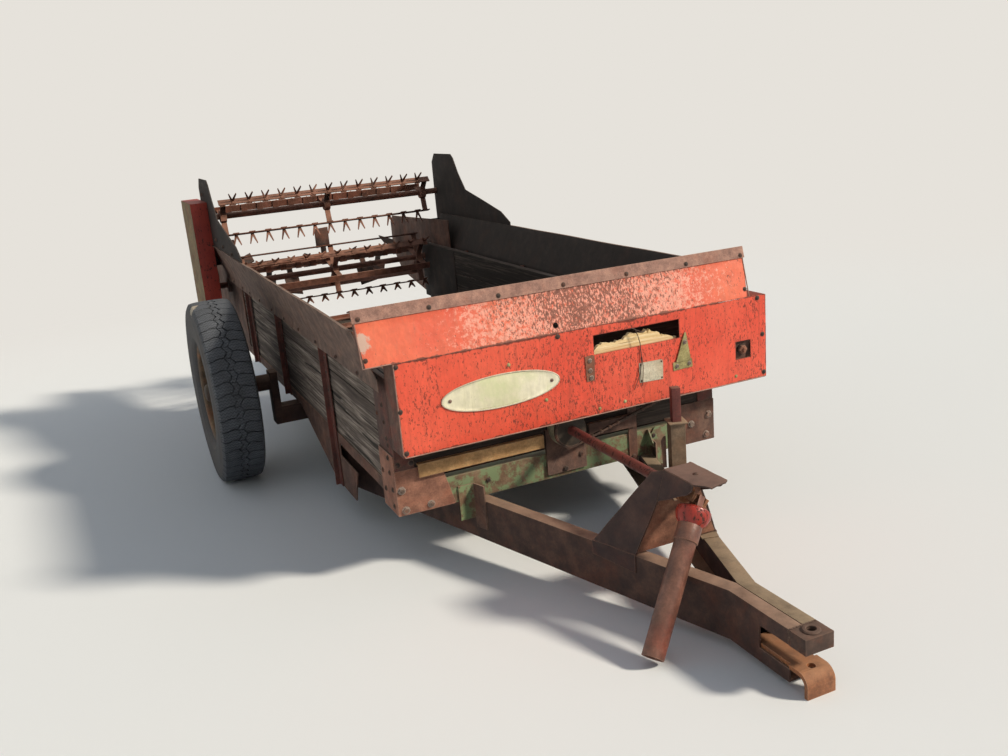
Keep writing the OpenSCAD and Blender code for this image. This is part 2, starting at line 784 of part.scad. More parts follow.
module stand_leg() {
    x_out = nose_half_w + (tongue_meet - stand_y) * tongue_slope;
    w = stand_w;
    color(maroon) translate([x_out, -stand_y, 0]) rotate([0, 0, -tongue_ang]) union() {
        block(20 + (w - leg_w) / 2, 20 + (w + leg_w) / 2, -leg_w / 2, leg_w / 2, leg_low, leg_top);
        block(20 + w / 2 - foot_half, 20 + w / 2 + foot_half, -foot_half, foot_half, leg_low - 8, leg_low);
    }
}

module tongue_clip() {
    x = nose_half_w + tongue_meet * tongue_slope;
    block(-x - clip_w - 1, -x - 1, -steel_t, 0, -clip_down * 2 / 3, clip_up);
    translate([-x, 0, 0]) rotate([0, 0, tongue_ang])
        block(-steel_t, 0, 1 - clip_w, -3, -clip_down, clip_up);
}

module front_straps() {
    color(rust) union() {
        block(strap_x, strap_x + strap_w, -steel_t, 0, -20, panel_z0 + 40);
        tongue_clip();
        mirror([1, 0, 0]) tongue_clip();
    }
}

module input_shaft() {
    yj = -joint_y;
    color(maroon) union() {
        rod_y(yj + 70, -1, 0, input_z, input_r);
        rod_y(-70, -58, 0, input_z, chain_r_in - chain_wall - run_gap);
        translate([0, yj, input_z]) rotate([0, -atan2(hinge_dir[2], hinge_dir[0]), 0])
            for (s = [-1, 1]) block(s > 0 ? 22 : -34, s > 0 ? 34 : -22, -14, 72, -15, 15);
        rod_y(yj + 60, yj + 82, 0, input_z, 34);
    }
}

module side_shaft() {
    color(rust) union() {
        rod_y(-panel_y + 20, beater_y - 94, side_shaft_x, side_shaft_z, side_shaft_r);
        rod_y(-70, -58, side_shaft_x, side_shaft_z, chain_r_side - chain_wall - run_gap);
        rod_y(-panel_y + 5, -panel_y + 21, side_shaft_x, side_shaft_z, 22);
    }
}

module chain_arc(r, x0, x1) {
    difference() {
        cylinder(r = r, h = chain_t);
        translate([0, 0, -1]) cylinder(r = r - chain_wall, h = chain_t + 2);
        translate([x0, -r - 1, -1]) cube([x1 - x0, 2 * r + 2, chain_t + 2]);
    }
}

module cross_chain() {
    dx = side_shaft_x;
    dz = side_shaft_z - input_z;
    l = sqrt(dx * dx + dz * dz);
    r0 = chain_r_in;
    r1 = chain_r_side;
    a = asin((r0 - r1) / l);
    color(rust) translate([0, -58, input_z]) rotate([90, -atan2(dz, dx), 0]) union() {
        chain_arc(r0, r0 * sin(a) + 2, 100);
        translate([l, 0, 0]) chain_arc(r1, -100, r1 * sin(a) - 2);
        for (s = [0, 1]) mirror([0, s, 0]) translate([r0 * sin(a), r0 * cos(a), 0]) rotate([0, 0, -a])
            translate([-3, -chain_wall, 0]) cube([l * cos(a) + 6, chain_wall, chain_t]);
    }
}

module shaft_bearings() {
    color(dark) difference() {
        union() {
            rod_y(-40, 0, 0, input_z, 75);
            block(-90, 90, -12, 0, 20, input_z);
        }
        rod_y(-60, 20, 0, input_z, input_r + run_gap);
        for (a = [30 : 60 : 330])
            rod_y(-60, -25, 48 * cos(a), input_z + 48 * sin(a), 14);
    }
    color(dark) for (y = stake_ys) difference() {
        block(side_x, side_shaft_x + 30, y - 46, y - 6, side_shaft_z - 34, side_shaft_z + 34);
        rod_y(y - 60, y + 20, side_shaft_x, side_shaft_z, side_shaft_r + run_gap);
    }
}

module gear_case() {
    x0 = box_half_w + arm_t + 22 + run_gap;
    x1 = side_shaft_x + 62;
    color(dark) difference() {
        union() {
            block(x0, x1, beater_y - 128, beater_y - 20, side_shaft_z - 45, lower_z + 42);
            rod_x(x0, x1, beater_y, lower_z, 62);
        }
        rod_x(x0 - 10, x1 - 24, beater_y, lower_z, beater_shaft_r + run_gap);
        rod_y(beater_y - 140, beater_y - 90, side_shaft_x, side_shaft_z, side_shaft_r + run_gap);
    }
}

module drive_tube() {
    // The tube hangs from the universal joint with its free end near the floor.
    d = tube_dir / norm(tube_dir);
    a = hinge_dir / norm(hinge_dir);
    tip = acos(d[2]);
    turn = atan2(d[1], d[0]);
    along = a[0] * cos(turn) * cos(tip) + a[1] * sin(turn) * cos(tip) - a[2] * sin(tip);
    across = -a[0] * sin(turn) + a[1] * cos(turn);
    color(rust) translate([0, -joint_y, input_z]) rotate([0, 0, turn]) rotate([0, tip, 0])
        rotate([0, 0, atan2(across, along)]) union() {
            rotate_extrude() polygon([[tube_r - 4, 90], [tube_r, 90], [tube_r, tube_len],
                [tube_r - 4, tube_len]]);
            rotate_extrude() polygon([[tube_r - 2, 90], [tube_r + 4, 90], [tube_r + 4, 146],
                [tube_r - 2, 146]]);
            rotate_extrude() polygon([[46, 32], [56, 38], [58, 54], [51, 76], [tube_r + 2, 92],
                [tube_r - 4, 92], [tube_r - 4, 84], [46, 71], [53, 54], [51, 42], [43, 36]]);
            for (s = [-1, 1]) translate([-12, s > 0 ? 14 : -20, -12]) cube([24, 6, 98]);
            translate([0, 0, 80]) cylinder(r = tube_r - 3, h = 8);
            rotate([90, 0, 0]) translate([0, 0, -19]) cylinder(r = 8, h = 38);
            rotate([0, 90, 0]) translate([0, 0, -21.5]) cylinder(r = 8, h = 43);
        }
}

// Wheels
module tyre() {
    hw = tyre_w / 2;
    r = tyre_r;
    color(tyre_col) rotate([0, 90, 0]) rotate_extrude($fn = 96)
        polygon([[rim_r, -rim_hw + 0.5], [rim_r + 15, -rim_hw + 0.5], [rim_r + 34, -hw + 12],
            [rim_r + 90, -hw + 2],
            [r - 90, -hw], [r - 38, -hw + 8], [r - 10, -hw + 16], [r - 3, -hw + 34], [r, -40],
            [r, 40], [r - 3, hw - 34], [r - 10, hw - 16], [r - 38, hw - 8], [r - 90, hw],
            [rim_r + 90, hw - 2], [rim_r + 34, hw - 12], [rim_r + 15, rim_hw - 0.5],
            [rim_r, rim_hw - 0.5]]);
}

module rim(s) {
    color(tan_steel) rotate([0, 90 * s, 0]) rotate_extrude($fn = 72)
        polygon([[spindle_r + run_gap, -70], [56, -70], [62, -20], [70, 18], [110, 24], [150, 30],
            [190, 18], [rim_r - 22, 8], [rim_r - 22, -rim_hw + 4], [rim_r - 16, -rim_hw - 4],
            [rim_r + 8, -rim_hw - 8], [rim_r + 14, -rim_hw - 4], [rim_r + 14, -rim_hw],
            [rim_r - 0.3, -rim_hw], [rim_r - 8, -rim_hw + 20], [rim_r - 8, rim_hw - 20],
            [rim_r - 0.3, rim_hw], [rim_r + 14, rim_hw], [rim_r + 14, rim_hw + 4],
            [rim_r + 8, rim_hw + 8], [rim_r - 16, rim_hw + 4], [rim_r - 22, rim_hw - 4],
            [rim_r - 22, 16], [190, 26], [150, 38], [110, 32], [66, 27], [60, 60],
            [spindle_r + run_gap, 60]]);
}

module tyre_left() {
    translate([-wheel_x, axle_y, axle_z]) tyre();
}

module rim_left() {
    translate([-wheel_x, axle_y, axle_z]) rim(-1);
}

module tyre_right() {
    translate([wheel_x, axle_y, axle_z]) tyre();
}

module rim_right() {
    translate([wheel_x, axle_y, axle_z]) rim(1);
}

// Beaters
module tooth(h) {
    rotate([90, 0, 0]) translate([0, 0, -3]) linear_extrude(6)
        polygon([[-9, 0], [9, 0], [27, h - 6], [22, h], [0, 22], [-22, h], [-27, h - 6]]);
}

module beater(bars, r, tooth_h, phase, teeth_every, bar_half, x_right) {
    union() {
        rod_x(-flare_top_x - 70, x_right, 0, 0, beater_shaft_r);
        for (x = [-bar_half + 30, 0, bar_half - 30]) {
            rod_x(x - 20, x + 20, 0, 0, 42);
            for (i = [0 : bars - 1]) rotate([phase + i * 360 / bars, 0, 0])
                block(x - 18, x + 18, -4, 4, 30, r + 4);
        }
        for (i = [0 : bars - 1]) rotate([phase + i * 360 / bars, 0, 0]) {
            block(-bar_half, bar_half, -22, 22, r, r + 6);
            if (i % teeth_every == 0)
                for (k = [0 : tooth_n - 1])
                    translate([(k - (tooth_n - 1) / 2) * tooth_pitch, 0, r + 5]) tooth(tooth_h);
        }
    }
}

module upper_beater() {
    color(rust) translate([0, beater_y, upper_z])
        beater(3, upper_r, upper_tooth, 44, 1, upper_half, flare_top_x + 40);
}

module lower_beater() {
    color(rust) translate([0, beater_y, lower_z])
        beater(6, lower_r, lower_tooth, 45, 2, lower_half, side_shaft_x + 62 - 30);
}

module spreading_rotor() {
    shaft_half = box_half_w + arm_t + 50;
    color(dark) translate([0, rotor_y, rotor_z]) union() {
        rod_x(-shaft_half, shaft_half, 0, 0, beater_shaft_r);
        for (i = [0 : paddle_n - 1]) {
            x = (i - (paddle_n - 1) / 2) * 142;
            s = x < 0 ? -1 : 1;
            translate([x, 0, 0]) rotate([s * i * 72, 0, 0]) {
                rod_x(-24, 24, 0, 0, 34);
                block(-20, 20, -5, 5, 28, 130);
                translate([0, 0, 100]) rotate([0, 0, s * 24])
                    block(-62, 62, -4, 4, 0, rotor_r - 112);
            }
        }
    }
}

parked() {
    tongue_left();
    tongue_right();
    hitch_head();
    front_channel();
    corner_gusset_left();
    corner_gusset_right();
    side_rail_left();
    side_rail_right();
    side_boards_left();
    side_boards_right();
    side_stakes_left();
    side_stakes_right();
    side_flare_left();
    side_flare_right();
    front_wall();
    front_panel();
    front_flare();
    floor_boards();
    floor_sills();
    axle();
    beater_plate_left();
    beater_plate_right();
    rear_arm_left();
    rear_arm_right();
    chain_guard();
    floor_chain();
    floor_slats();
    floor_shafts();
    shaft_hood();
    stand_tube();
    front_straps();
    gear_case();
    shaft_bearings();
    cross_chain();
    tyre_left();
    rim_left();
    tyre_right();
    rim_right();
    upper_beater();
    lower_beater();
    spreading_rotor();
    input_shaft();
    side_shaft();
    drive_tube();
    stand_leg();
}
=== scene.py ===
import json
import math

import bmesh
import bpy
from mathutils import Matrix, Vector, noise


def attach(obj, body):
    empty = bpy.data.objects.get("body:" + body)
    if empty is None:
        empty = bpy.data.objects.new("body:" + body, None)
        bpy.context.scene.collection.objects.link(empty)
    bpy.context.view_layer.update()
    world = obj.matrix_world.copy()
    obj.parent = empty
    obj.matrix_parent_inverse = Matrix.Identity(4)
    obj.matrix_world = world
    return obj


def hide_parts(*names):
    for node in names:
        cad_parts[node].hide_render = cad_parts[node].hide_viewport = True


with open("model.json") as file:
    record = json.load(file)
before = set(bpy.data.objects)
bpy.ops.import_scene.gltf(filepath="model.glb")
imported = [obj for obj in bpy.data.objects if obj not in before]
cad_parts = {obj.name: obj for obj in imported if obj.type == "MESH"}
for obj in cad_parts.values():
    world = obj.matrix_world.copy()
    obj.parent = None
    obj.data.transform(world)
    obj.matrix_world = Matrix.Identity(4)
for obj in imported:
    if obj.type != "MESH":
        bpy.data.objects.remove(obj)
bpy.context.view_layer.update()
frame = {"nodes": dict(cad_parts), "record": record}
NODES = frame["nodes"]
BODY_OF = {node: body for body, members in frame["record"]["behaviour"]["bodies"].items()
           for node in members}

# mathutils takes its seed from the clock unless it is given one, and the dents would differ from
# run to run.
noise.seed_set(3)

# The drawing's frame. The machine is drawn level, in millimetres, with y = 0 at the box front and
# z = 0 on top of the tongue, and is then leaned on its hitch jaw as it parks.
TYRE_R = 486.4
AXLE_Y, AXLE_Z = 1881.5, 135.2
WHEEL_X = 1072.0
PIN_Y = 1458.0
JAW_Y, JAW_LOW, JAW_CURL, JAW_GAP = 1502.0, 186.0, 40.0, 112.0
ARM_REAR, ARM_TIP_Z = 4300.0, 420.0
PANEL_Y = 131.0
JOINT_Y, INPUT_Z = 925.0, 212.0
BEATER_Y, UPPER_Z, LOWER_Z = 3440.0, 914.0, 455.0
SIDE_SHAFT_X, SIDE_SHAFT_Z = 800.0, 413.0
reach = math.hypot(AXLE_Y + JAW_Y, AXLE_Z + JAW_LOW)
LEAN = math.asin(TYRE_R / reach) - math.atan2(AXLE_Z + JAW_LOW, AXLE_Y + JAW_Y)
LIFT = TYRE_R - math.sin(LEAN) * AXLE_Y - math.cos(LEAN) * AXLE_Z
front_end = ((JAW_CURL - JAW_Y) * math.cos(LEAN) + (JAW_GAP + JAW_CURL) * math.sin(LEAN)
             - JAW_CURL)
rear_end = ARM_REAR * math.cos(LEAN) - ARM_TIP_Z * math.sin(LEAN)
MIDDLE = -(front_end + rear_end) / 2
PARK = Matrix.Translation((0, MIDDLE / 1000, LIFT / 1000)) @ Matrix.Rotation(LEAN, 4, "X")
TO_MM = Matrix.Scale(1000, 4) @ PARK.inverted()

# Camera, fitted to the photograph by the known size of the tyre. Its place is in metres in the
# drawing's frame.
CAM_AT = Vector((-1.6972, -3.3914, 1.4998))
CAM_FORWARD = Vector((0.3791, 0.8848, -0.2709))
CAM_UP = Vector((0.1861, 0.2139, 0.9589))
camera_data = bpy.data.cameras.new("camera")
camera_data.lens = 35.07
camera_data.sensor_width = 36.0
camera_data.clip_end = 200
camera = bpy.data.objects.new("camera", camera_data)
bpy.context.scene.collection.objects.link(camera)
back = -CAM_FORWARD.normalized()
right = CAM_UP.cross(back).normalized()
camera_turn = Matrix((right, back.cross(right), back)).transposed().to_4x4()
camera.matrix_world = PARK @ Matrix.Translation(CAM_AT) @ camera_turn
bpy.context.scene.camera = camera


# Materials
def colour(text):
    """An sRGB hex value as linear RGBA."""
    rgb = [int(text[i:i + 2], 16) / 255 for i in (1, 3, 5)]
    return [v / 12.92 if v <= 0.04045 else ((v + 0.055) / 1.055) ** 2.4 for v in rgb] + [1.0]


def link(tree, value, socket):
    """Sets a socket, or links it to another one or to a node's first output that is in use."""
    if isinstance(value, bpy.types.Node):
        value = next(output for output in value.outputs if output.enabled)
    if isinstance(value, bpy.types.NodeSocket):
        tree.links.new(value, socket)
    else:
        socket.default_value = colour(value) if isinstance(value, str) else value


def add(tree, kind, links=None, stops=None, **settings):
    """Adds one node with its settings, its sockets' values and links, and a ramp's stops."""
    item = tree.nodes.new("ShaderNode" + kind)
    for key, value in settings.items():
        setattr(item, key, value)
    for key, value in (links or {}).items():
        link(tree, value, item.inputs[key])
    if stops:
        ramp = item.color_ramp
        while len(ramp.elements) < len(stops):
            ramp.elements.new(0.5)
        for element, (place, value) in zip(ramp.elements, stops):
            element.position = place
            element.color = colour(value) if isinstance(value, str) else (value, value, value, 1)
    return item


def new_material(name, roughness):
    """A material with a Principled shader, and its object coordinates in metres."""
    material = bpy.data.materials.new(name)
    material.use_nodes = True
    tree = material.node_tree
    tree.nodes["Principled BSDF"].inputs["Roughness"].default_value = roughness
    return material, tree, add(tree, "TexCoord").outputs["Object"]


def dress(tree, base, layers, reliefs, rough=None):
    """Lays tints over a base colour, each by its mask, and reliefs over each other, and links them
    to the shader. A relief is a height, a strength, a depth in metres and whether it is cut in."""
    shader = tree.nodes["Principled BSDF"]
    for mask, tint, *blend in layers:
        base = add(tree, "Mix", {0: mask, 6: base, 7: tint}, data_type="RGBA",
                   blend_type=blend[0] if blend else "MIX")
    link(tree, base, shader.inputs["Base Color"])
    if rough:
        link(tree, rough, shader.inputs["Roughness"])
    below = {}
    for height, strength, depth, cut_in in reliefs:
        below = {"Normal": add(tree, "Bump", {"Height": height, "Strength": strength,
                                              "Distance": depth, **below}, invert=cut_in)}
    link(tree, below["Normal"], shader.inputs["Normal"])


def worn_edges(tree, radius_mm, low=0.03, high=0.22):
    """1 along the edges of a piece and 0 on its flats, from how far a rounded normal turns."""
    rounded = add(tree, "Bevel", {"Radius": radius_mm / 1000}, samples=4)
    plain = add(tree, "NewGeometry").outputs["Normal"]
    along = add(tree, "VectorMath", {0: rounded, 1: plain}, operation="DOT_PRODUCT")
    return add(tree, "MapRange", {"Value": along, "From Min": 1 - low, "From Max": 1 - high})


def rusted_steel(name, dark, mid, light, dust, dust_amount=0.5, grain_mm=9, orange="#8f4a26",
                 orange_amount=0.35, edge="#7d6455", edge_amount=0.55, old_paint=None,
                 paint_amount=0.0, gloss=0.82):
    """Bare steel left outdoors: brown oxide in blotches, orange bloom, pale dust on what faces up,
    edges rubbed lighter and, where asked for, the last of its paint."""
    material, tree, place = new_material(name, gloss)
    blotch, bloom, fine = [
        add(tree, "TexNoise", {"Vector": place, "Scale": 1000 / size, "Detail": detail,
                               "Roughness": rough, "Distortion": bent})
        for size, detail, rough, bent in ((grain_mm * 9, 9, 0.68, 0), (grain_mm * 20, 7, 0.65, 0.6),
                                          (grain_mm, 6, 0.72, 0))]
    base = add(tree, "ValToRGB", {"Fac": blotch}, [(0.30, dark), (0.50, mid), (0.70, light)])
    bloomed = add(tree, "ValToRGB", {"Fac": bloom}, [(0.50, 0.0), (0.66, orange_amount)])
    grit = add(tree, "MapRange", {"Value": fine, "From Min": 0.3, "From Max": 0.7,
                                  "To Min": 0.72, "To Max": 1.25})
    layers = [(bloomed, orange), (1.0, grit, "MULTIPLY")]
    if old_paint:
        flakes = add(tree, "TexNoise", {"Vector": place, "Scale": 1000 / 60, "Detail": 10,
                                        "Roughness": 0.74})
        left_on = add(tree, "MapRange", {"Value": flakes, "From Min": 0.62 - 0.25 * paint_amount,
                                         "From Max": 0.70 - 0.25 * paint_amount})
        layers.append((left_on, old_paint))
    rubbed = add(tree, "Math", {0: worn_edges(tree, 5.0), 1: edge_amount}, operation="MULTIPLY")
    facing = add(tree, "SeparateXYZ", {0: add(tree, "NewGeometry").outputs["Normal"]}).outputs["Z"]
    upward = add(tree, "MapRange", {"Value": facing, "From Min": 0.2, "From Max": 0.95,
                                    "To Max": dust_amount})
    settled = add(tree, "MapRange", {"Value": blotch, "From Min": 0.28, "From Max": 0.6,
                                     "To Min": 0.45})
    dusty = add(tree, "Math", {0: upward, 1: settled}, operation="MULTIPLY")
    dress(tree, base, layers + [(rubbed, edge), (dusty, dust)],
          [(blotch, 0.5, 0.004, False), (fine, 0.4, 0.0012, False)],
          add(tree, "MapRange", {"Value": fine, "To Min": gloss - 0.14, "To Max": gloss + 0.12}))
    return material


def along_x(tree, place, stops):
    """A value that follows stops from the left edge of the front to its right edge."""
    across = add(tree, "SeparateXYZ", {0: place}).outputs["X"]
    ratio = add(tree, "MapRange", {"Value": across, "From Min": -0.85, "From Max": 0.85})
    return add(tree, "ValToRGB", {"Fac": ratio}, stops)


def wear_and_highlight_spot(tree, place, at, radius):
    """1 in one ragged patch round a point, in metres."""
    away = add(tree, "VectorMath", {0: place, 1: at}, operation="DISTANCE")
    ragged = add(tree, "TexNoise", {"Vector": place, "Scale": 1.3 / radius, "Detail": 8,
                                    "Roughness": 0.75})
    size = add(tree, "Math", {0: ragged, 1: radius * 2.6, 2: -radius * 0.5},
               operation="MULTIPLY_ADD")
    near = add(tree, "Math", {0: size, 1: away}, operation="SUBTRACT")
    return add(tree, "MapRange", {"Value": near, "From Max": radius * 0.25, "To Max": 0.9})


def rusted_rim(tree, place, ragged, x0, x1, z0, z1, width):
    """1 within a ragged width of the sheet's outline, where water stands and paint goes first."""
    at = add(tree, "SeparateXYZ", {0: place}).outputs
    inward = None
    for axis, limit, sign in (("X", x0, 1.0), ("X", x1, -1.0), ("Z", z0, 1.0), ("Z", z1, -1.0)):
        leg = add(tree, "Math", {0: at[axis], 1: sign, 2: -sign * limit}, operation="MULTIPLY_ADD")
        if inward:
            leg = add(tree, "Math", {0: inward, 1: leg}, operation="MINIMUM")
        inward = leg
    uneven = add(tree, "Math", {0: ragged, 1: width * 7.0, 2: -width * 2.9},
                 operation="MULTIPLY_ADD")
    within = add(tree, "Math", {0: uneven, 1: inward}, operation="SUBTRACT")
    return add(tree, "MapRange", {"Value": within, "From Max": width * 0.25, "To Max": 0.9})


def chipped_paint(name, paint, faded, rust, rust_dark, speck_mm=3.0, speck_at=0.60, across=None,
                  pale=None, pale_across=None, streak="#a24a2c", streak_amount=0.42, gloss=0.48,
                  edge_mm=4.0, stain=None, scab_at=0.68, rust_amount=1.0, spot=None, sheet=None):
    """Old air-dried paint on sheet: sun-faded in broad patches, rain streaks, and rust that shows
    through in small upright specks, in scabs and along the edges. Chips lie lower than the film."""
    material, tree, place = new_material(name, gloss)
    upright, falling = [add(tree, "Mapping", {"Vector": place, "Scale": (1.0, 1.0, height)})
                        for height in (0.45, 0.05)]
    broad, mottle, rain, area, speck, scab, oxide = [
        add(tree, "TexNoise", {"Vector": way, "Scale": 1000 / size, "Detail": detail,
                               "Roughness": rough})
        for way, size, detail, rough in (
            (place, 380, 5, 0.6), (upright, 24, 8, 0.75), (falling, 15, 5, 0.6),
            (place, 140, 4, 0.6), (upright, speck_mm * 2.4, 5, 0.7), (upright, 75, 9, 0.72),
            (place, 14, 6, 0.7))]
    uneven = add(tree, "MapRange", {"Value": mottle, "From Min": 0.3, "From Max": 0.7,
                                    "To Min": 0.84, "To Max": 1.12})
    layers = [(1.0, uneven, "MULTIPLY")]
    if pale:
        moved = add(tree, "Mapping", {"Vector": place, "Location": (4.0, 2.0, 1.0)})
        chalk = add(tree, "TexNoise", {"Vector": moved, "Scale": 1000 / 17, "Detail": 9,
                                       "Roughness": 0.8})
        chalky = add(tree, "Math", {0: chalk, 1: along_x(tree, place, pale_across)},
                     operation="ADD")
        layers.append((add(tree, "MapRange", {"Value": chalky, "From Min": 0.62,
                                              "From Max": 0.70}), pale))
    run = add(tree, "MapRange", {"Value": rain, "From Min": 0.52, "From Max": 0.72,
                                 "To Max": streak_amount})
    level = add(tree, "MapRange", {"Value": area, "From Min": 0.3, "From Max": 0.7,
                                   "To Min": -0.05, "To Max": 0.05})
    specked = add(tree, "Math", {0: speck, 1: level}, operation="ADD")
    if across:
        amount = along_x(tree, place, across)
        heavier = add(tree, "Math", {0: amount, 1: 9.0, 2: 0.55}, operation="MULTIPLY_ADD")
        run = add(tree, "Math", {0: run, 1: heavier}, operation="MULTIPLY", use_clamp=True)
        specked = add(tree, "Math", {0: specked, 1: amount}, operation="ADD")
    specks = add(tree, "MapRange", {"Value": specked, "From Min": speck_at,
                                    "From Max": speck_at + 0.05, "To Max": rust_amount})
    scabs = add(tree, "MapRange", {"Value": scab, "From Min": scab_at, "From Max": scab_at + 0.02})
    thin = add(tree, "MapRange", {"Value": scab, "From Min": 0.36, "From Max": 0.50})
    masks = [add(tree, "Math", {0: worn_edges(tree, edge_mm, 0.02, 0.15), 1: thin},
                 operation="MULTIPLY")]
    if sheet:
        masks.append(rusted_rim(tree, place, scab, *sheet))
    bare = add(tree, "Math", {0: specks, 1: scabs}, operation="MAXIMUM")
    for mask in masks:
        bare = add(tree, "Math", {0: bare, 1: mask}, operation="MAXIMUM", use_clamp=True)
    rust_colour = add(tree, "ValToRGB", {"Fac": oxide}, [(0.38, rust_dark), (0.62, rust)])
    layers += [(run, streak), (bare, rust_colour)]
    if stain:
        soil = add(tree, "TexNoise", {"Vector": place, "Scale": 1000 / 180, "Detail": 9,
                                      "Roughness": 0.72})
        layers.append((add(tree, "MapRange", {"Value": soil, "From Min": 0.5, "From Max": 0.64,
                                              "To Max": 0.85}), stain))
    if spot:
        at, radius, tint = spot
        layers.append((wear_and_highlight_spot(tree, place, at, radius), tint))
    dress(tree, add(tree, "ValToRGB", {"Fac": broad}, [(0.38, paint), (0.62, faded)]), layers,
          [(broad, 0.5, 0.02, False), (bare, 0.5, 0.0006, True)],
          add(tree, "MapRange", {"Value": bare, "To Min": gloss, "To Max": 0.9}))
    return material


def weathered_board(name, along, dark, mid, light, crack="#1d1815"):
    """Sawn softwood boards gone grey: grain a few millimetres wide drawn out along the board, open
    drying cracks, and late wood that stands proud of the rest."""
    material, tree, place = new_material(name, 0.92)
    long_way = {"x": (0.028, 1.0, 1.0), "y": (1.0, 0.028, 1.0)}[along]
    broad_way = add(tree, "Mapping", {"Vector": place,
                                      "Scale": tuple(v * 0.5 + 0.2 for v in long_way)})
    wander = add(tree, "TexNoise", {"Vector": broad_way, "Scale": 3.0, "Detail": 2})
    bent = add(tree, "MixRGB", {0: 0.045, 1: place, 2: wander.outputs["Color"]}, blend_type="ADD")
    drawn = add(tree, "Mapping", {"Vector": bent, "Scale": long_way})
    moved = add(tree, "Mapping", {"Vector": drawn, "Location": (3.1, 1.7, 5.3)})
    grain, band, split, stain = [
        add(tree, "TexNoise", {"Vector": way, "Scale": 1000 / size, "Detail": detail,
                               "Roughness": rough})
        for way, size, detail, rough in ((drawn, 9, 8, 0.66), (drawn, 55, 4, 0.5),
                                         (moved, 26, 3, 0.5), (place, 300, 6, 0.65))]
    shares = [add(tree, "Math", {0: part, 1: share}, operation="MULTIPLY")
              for part, share in ((grain, 0.6), (band, 0.4))]
    both = add(tree, "Math", {0: shares[0], 1: shares[1]}, operation="ADD")
    base = add(tree, "ValToRGB", {"Fac": both}, [(0.38, dark), (0.5, mid), (0.62, light)])
    open_crack = add(tree, "MapRange", {"Value": split, "From Min": 0.635, "From Max": 0.66})
    damp = add(tree, "MapRange", {"Value": stain, "From Min": 0.45, "From Max": 0.7,
                                  "To Max": 0.55})
    dress(tree, base, [(open_crack, crack), (damp, dark)],
          [(grain, 0.75, 0.003, False), (open_crack, 0.8, 0.004, True)])
    return material


def old_rubber(name, body, worn, dust, scuffed):
    """Carbon-black tyre rubber, ozone-cracked and greyed, with field dust in the lows and
    shoulders, the thin zigzag sipes across its tread, and a pale patch on top of one
    shoulder that is a painted highlight."""
    material, tree, place = new_material(name, 0.78)
    patch, fine = [add(tree, "TexNoise", {"Vector": place, "Scale": 1000 / size, "Detail": detail,
                                          "Roughness": rough})
                   for size, detail, rough in ((90, 8, 0.68), (5, 5, 0.7))]
    base = add(tree, "ValToRGB", {"Fac": patch}, [(0.32, body), (0.66, worn)])
    speck = add(tree, "MapRange", {"Value": fine, "From Min": 0.53, "From Max": 0.66,
                                   "To Max": 0.6})
    at = add(tree, "SeparateXYZ", {0: place}).outputs
    squares = [add(tree, "Math", {0: at[axis], 1: at[axis]}, operation="MULTIPLY")
               for axis in ("Y", "Z")]
    from_axle = add(tree, "Math", {0: squares[0], 1: squares[1]}, operation="ADD")
    wall = add(tree, "MapRange", {"Value": from_axle, "From Min": 0.474 ** 2,
                                  "From Max": 0.44 ** 2})
    caked = add(tree, "MapRange", {"Value": patch, "From Min": 0.4, "From Max": 0.62,
                                   "To Min": 0.35, "To Max": 0.8})
    dusty = add(tree, "Math", {0: wall, 1: caked}, operation="MULTIPLY")
    # The sipes are 16 mm apart, and drawn 5 mm wide so that they show.
    turn = add(tree, "Math", {0: at["Z"], 1: at["Y"]}, operation="ARCTAN2")
    zigzag = add(tree, "Math", {0: at["X"], 1: 0.009}, operation="PINGPONG")
    arc = add(tree, "Math", {0: turn, 1: 0.484, 2: zigzag}, operation="MULTIPLY_ADD")
    between = add(tree, "Math", {0: arc, 1: 0.008}, operation="PINGPONG")
    cut = add(tree, "MapRange", {"Value": between, "From Min": 0.0032, "From Max": 0.0016})
    tread = add(tree, "Math", {0: 1.0, 1: wall}, operation="SUBTRACT")
    sipe = add(tree, "Math", {0: cut, 1: tread}, operation="MULTIPLY")
    dark_cut = add(tree, "Math", {0: sipe, 1: 0.65}, operation="MULTIPLY")
    # A pale patch on the top of the left shoulder is a painted highlight, where the sun would fall
    # on it.
    spot = wear_and_highlight_spot(tree, place, (-0.106, -0.06, 0.47), 0.045)
    cracked = add(tree, "TexVoronoi", {"Vector": place, "Scale": 1000 / 14},
                  feature="DISTANCE_TO_EDGE")
    crazing = add(tree, "MapRange", {"Value": cracked, "From Max": 0.06})
    dress(tree, base, [(speck, scuffed), (dusty, dust), (dark_cut, "#17181a"), (spot, "#b5aa98")],
          [(fine, 0.35, 0.0012, False), (crazing, 0.15, 0.0008, False)])
    return material


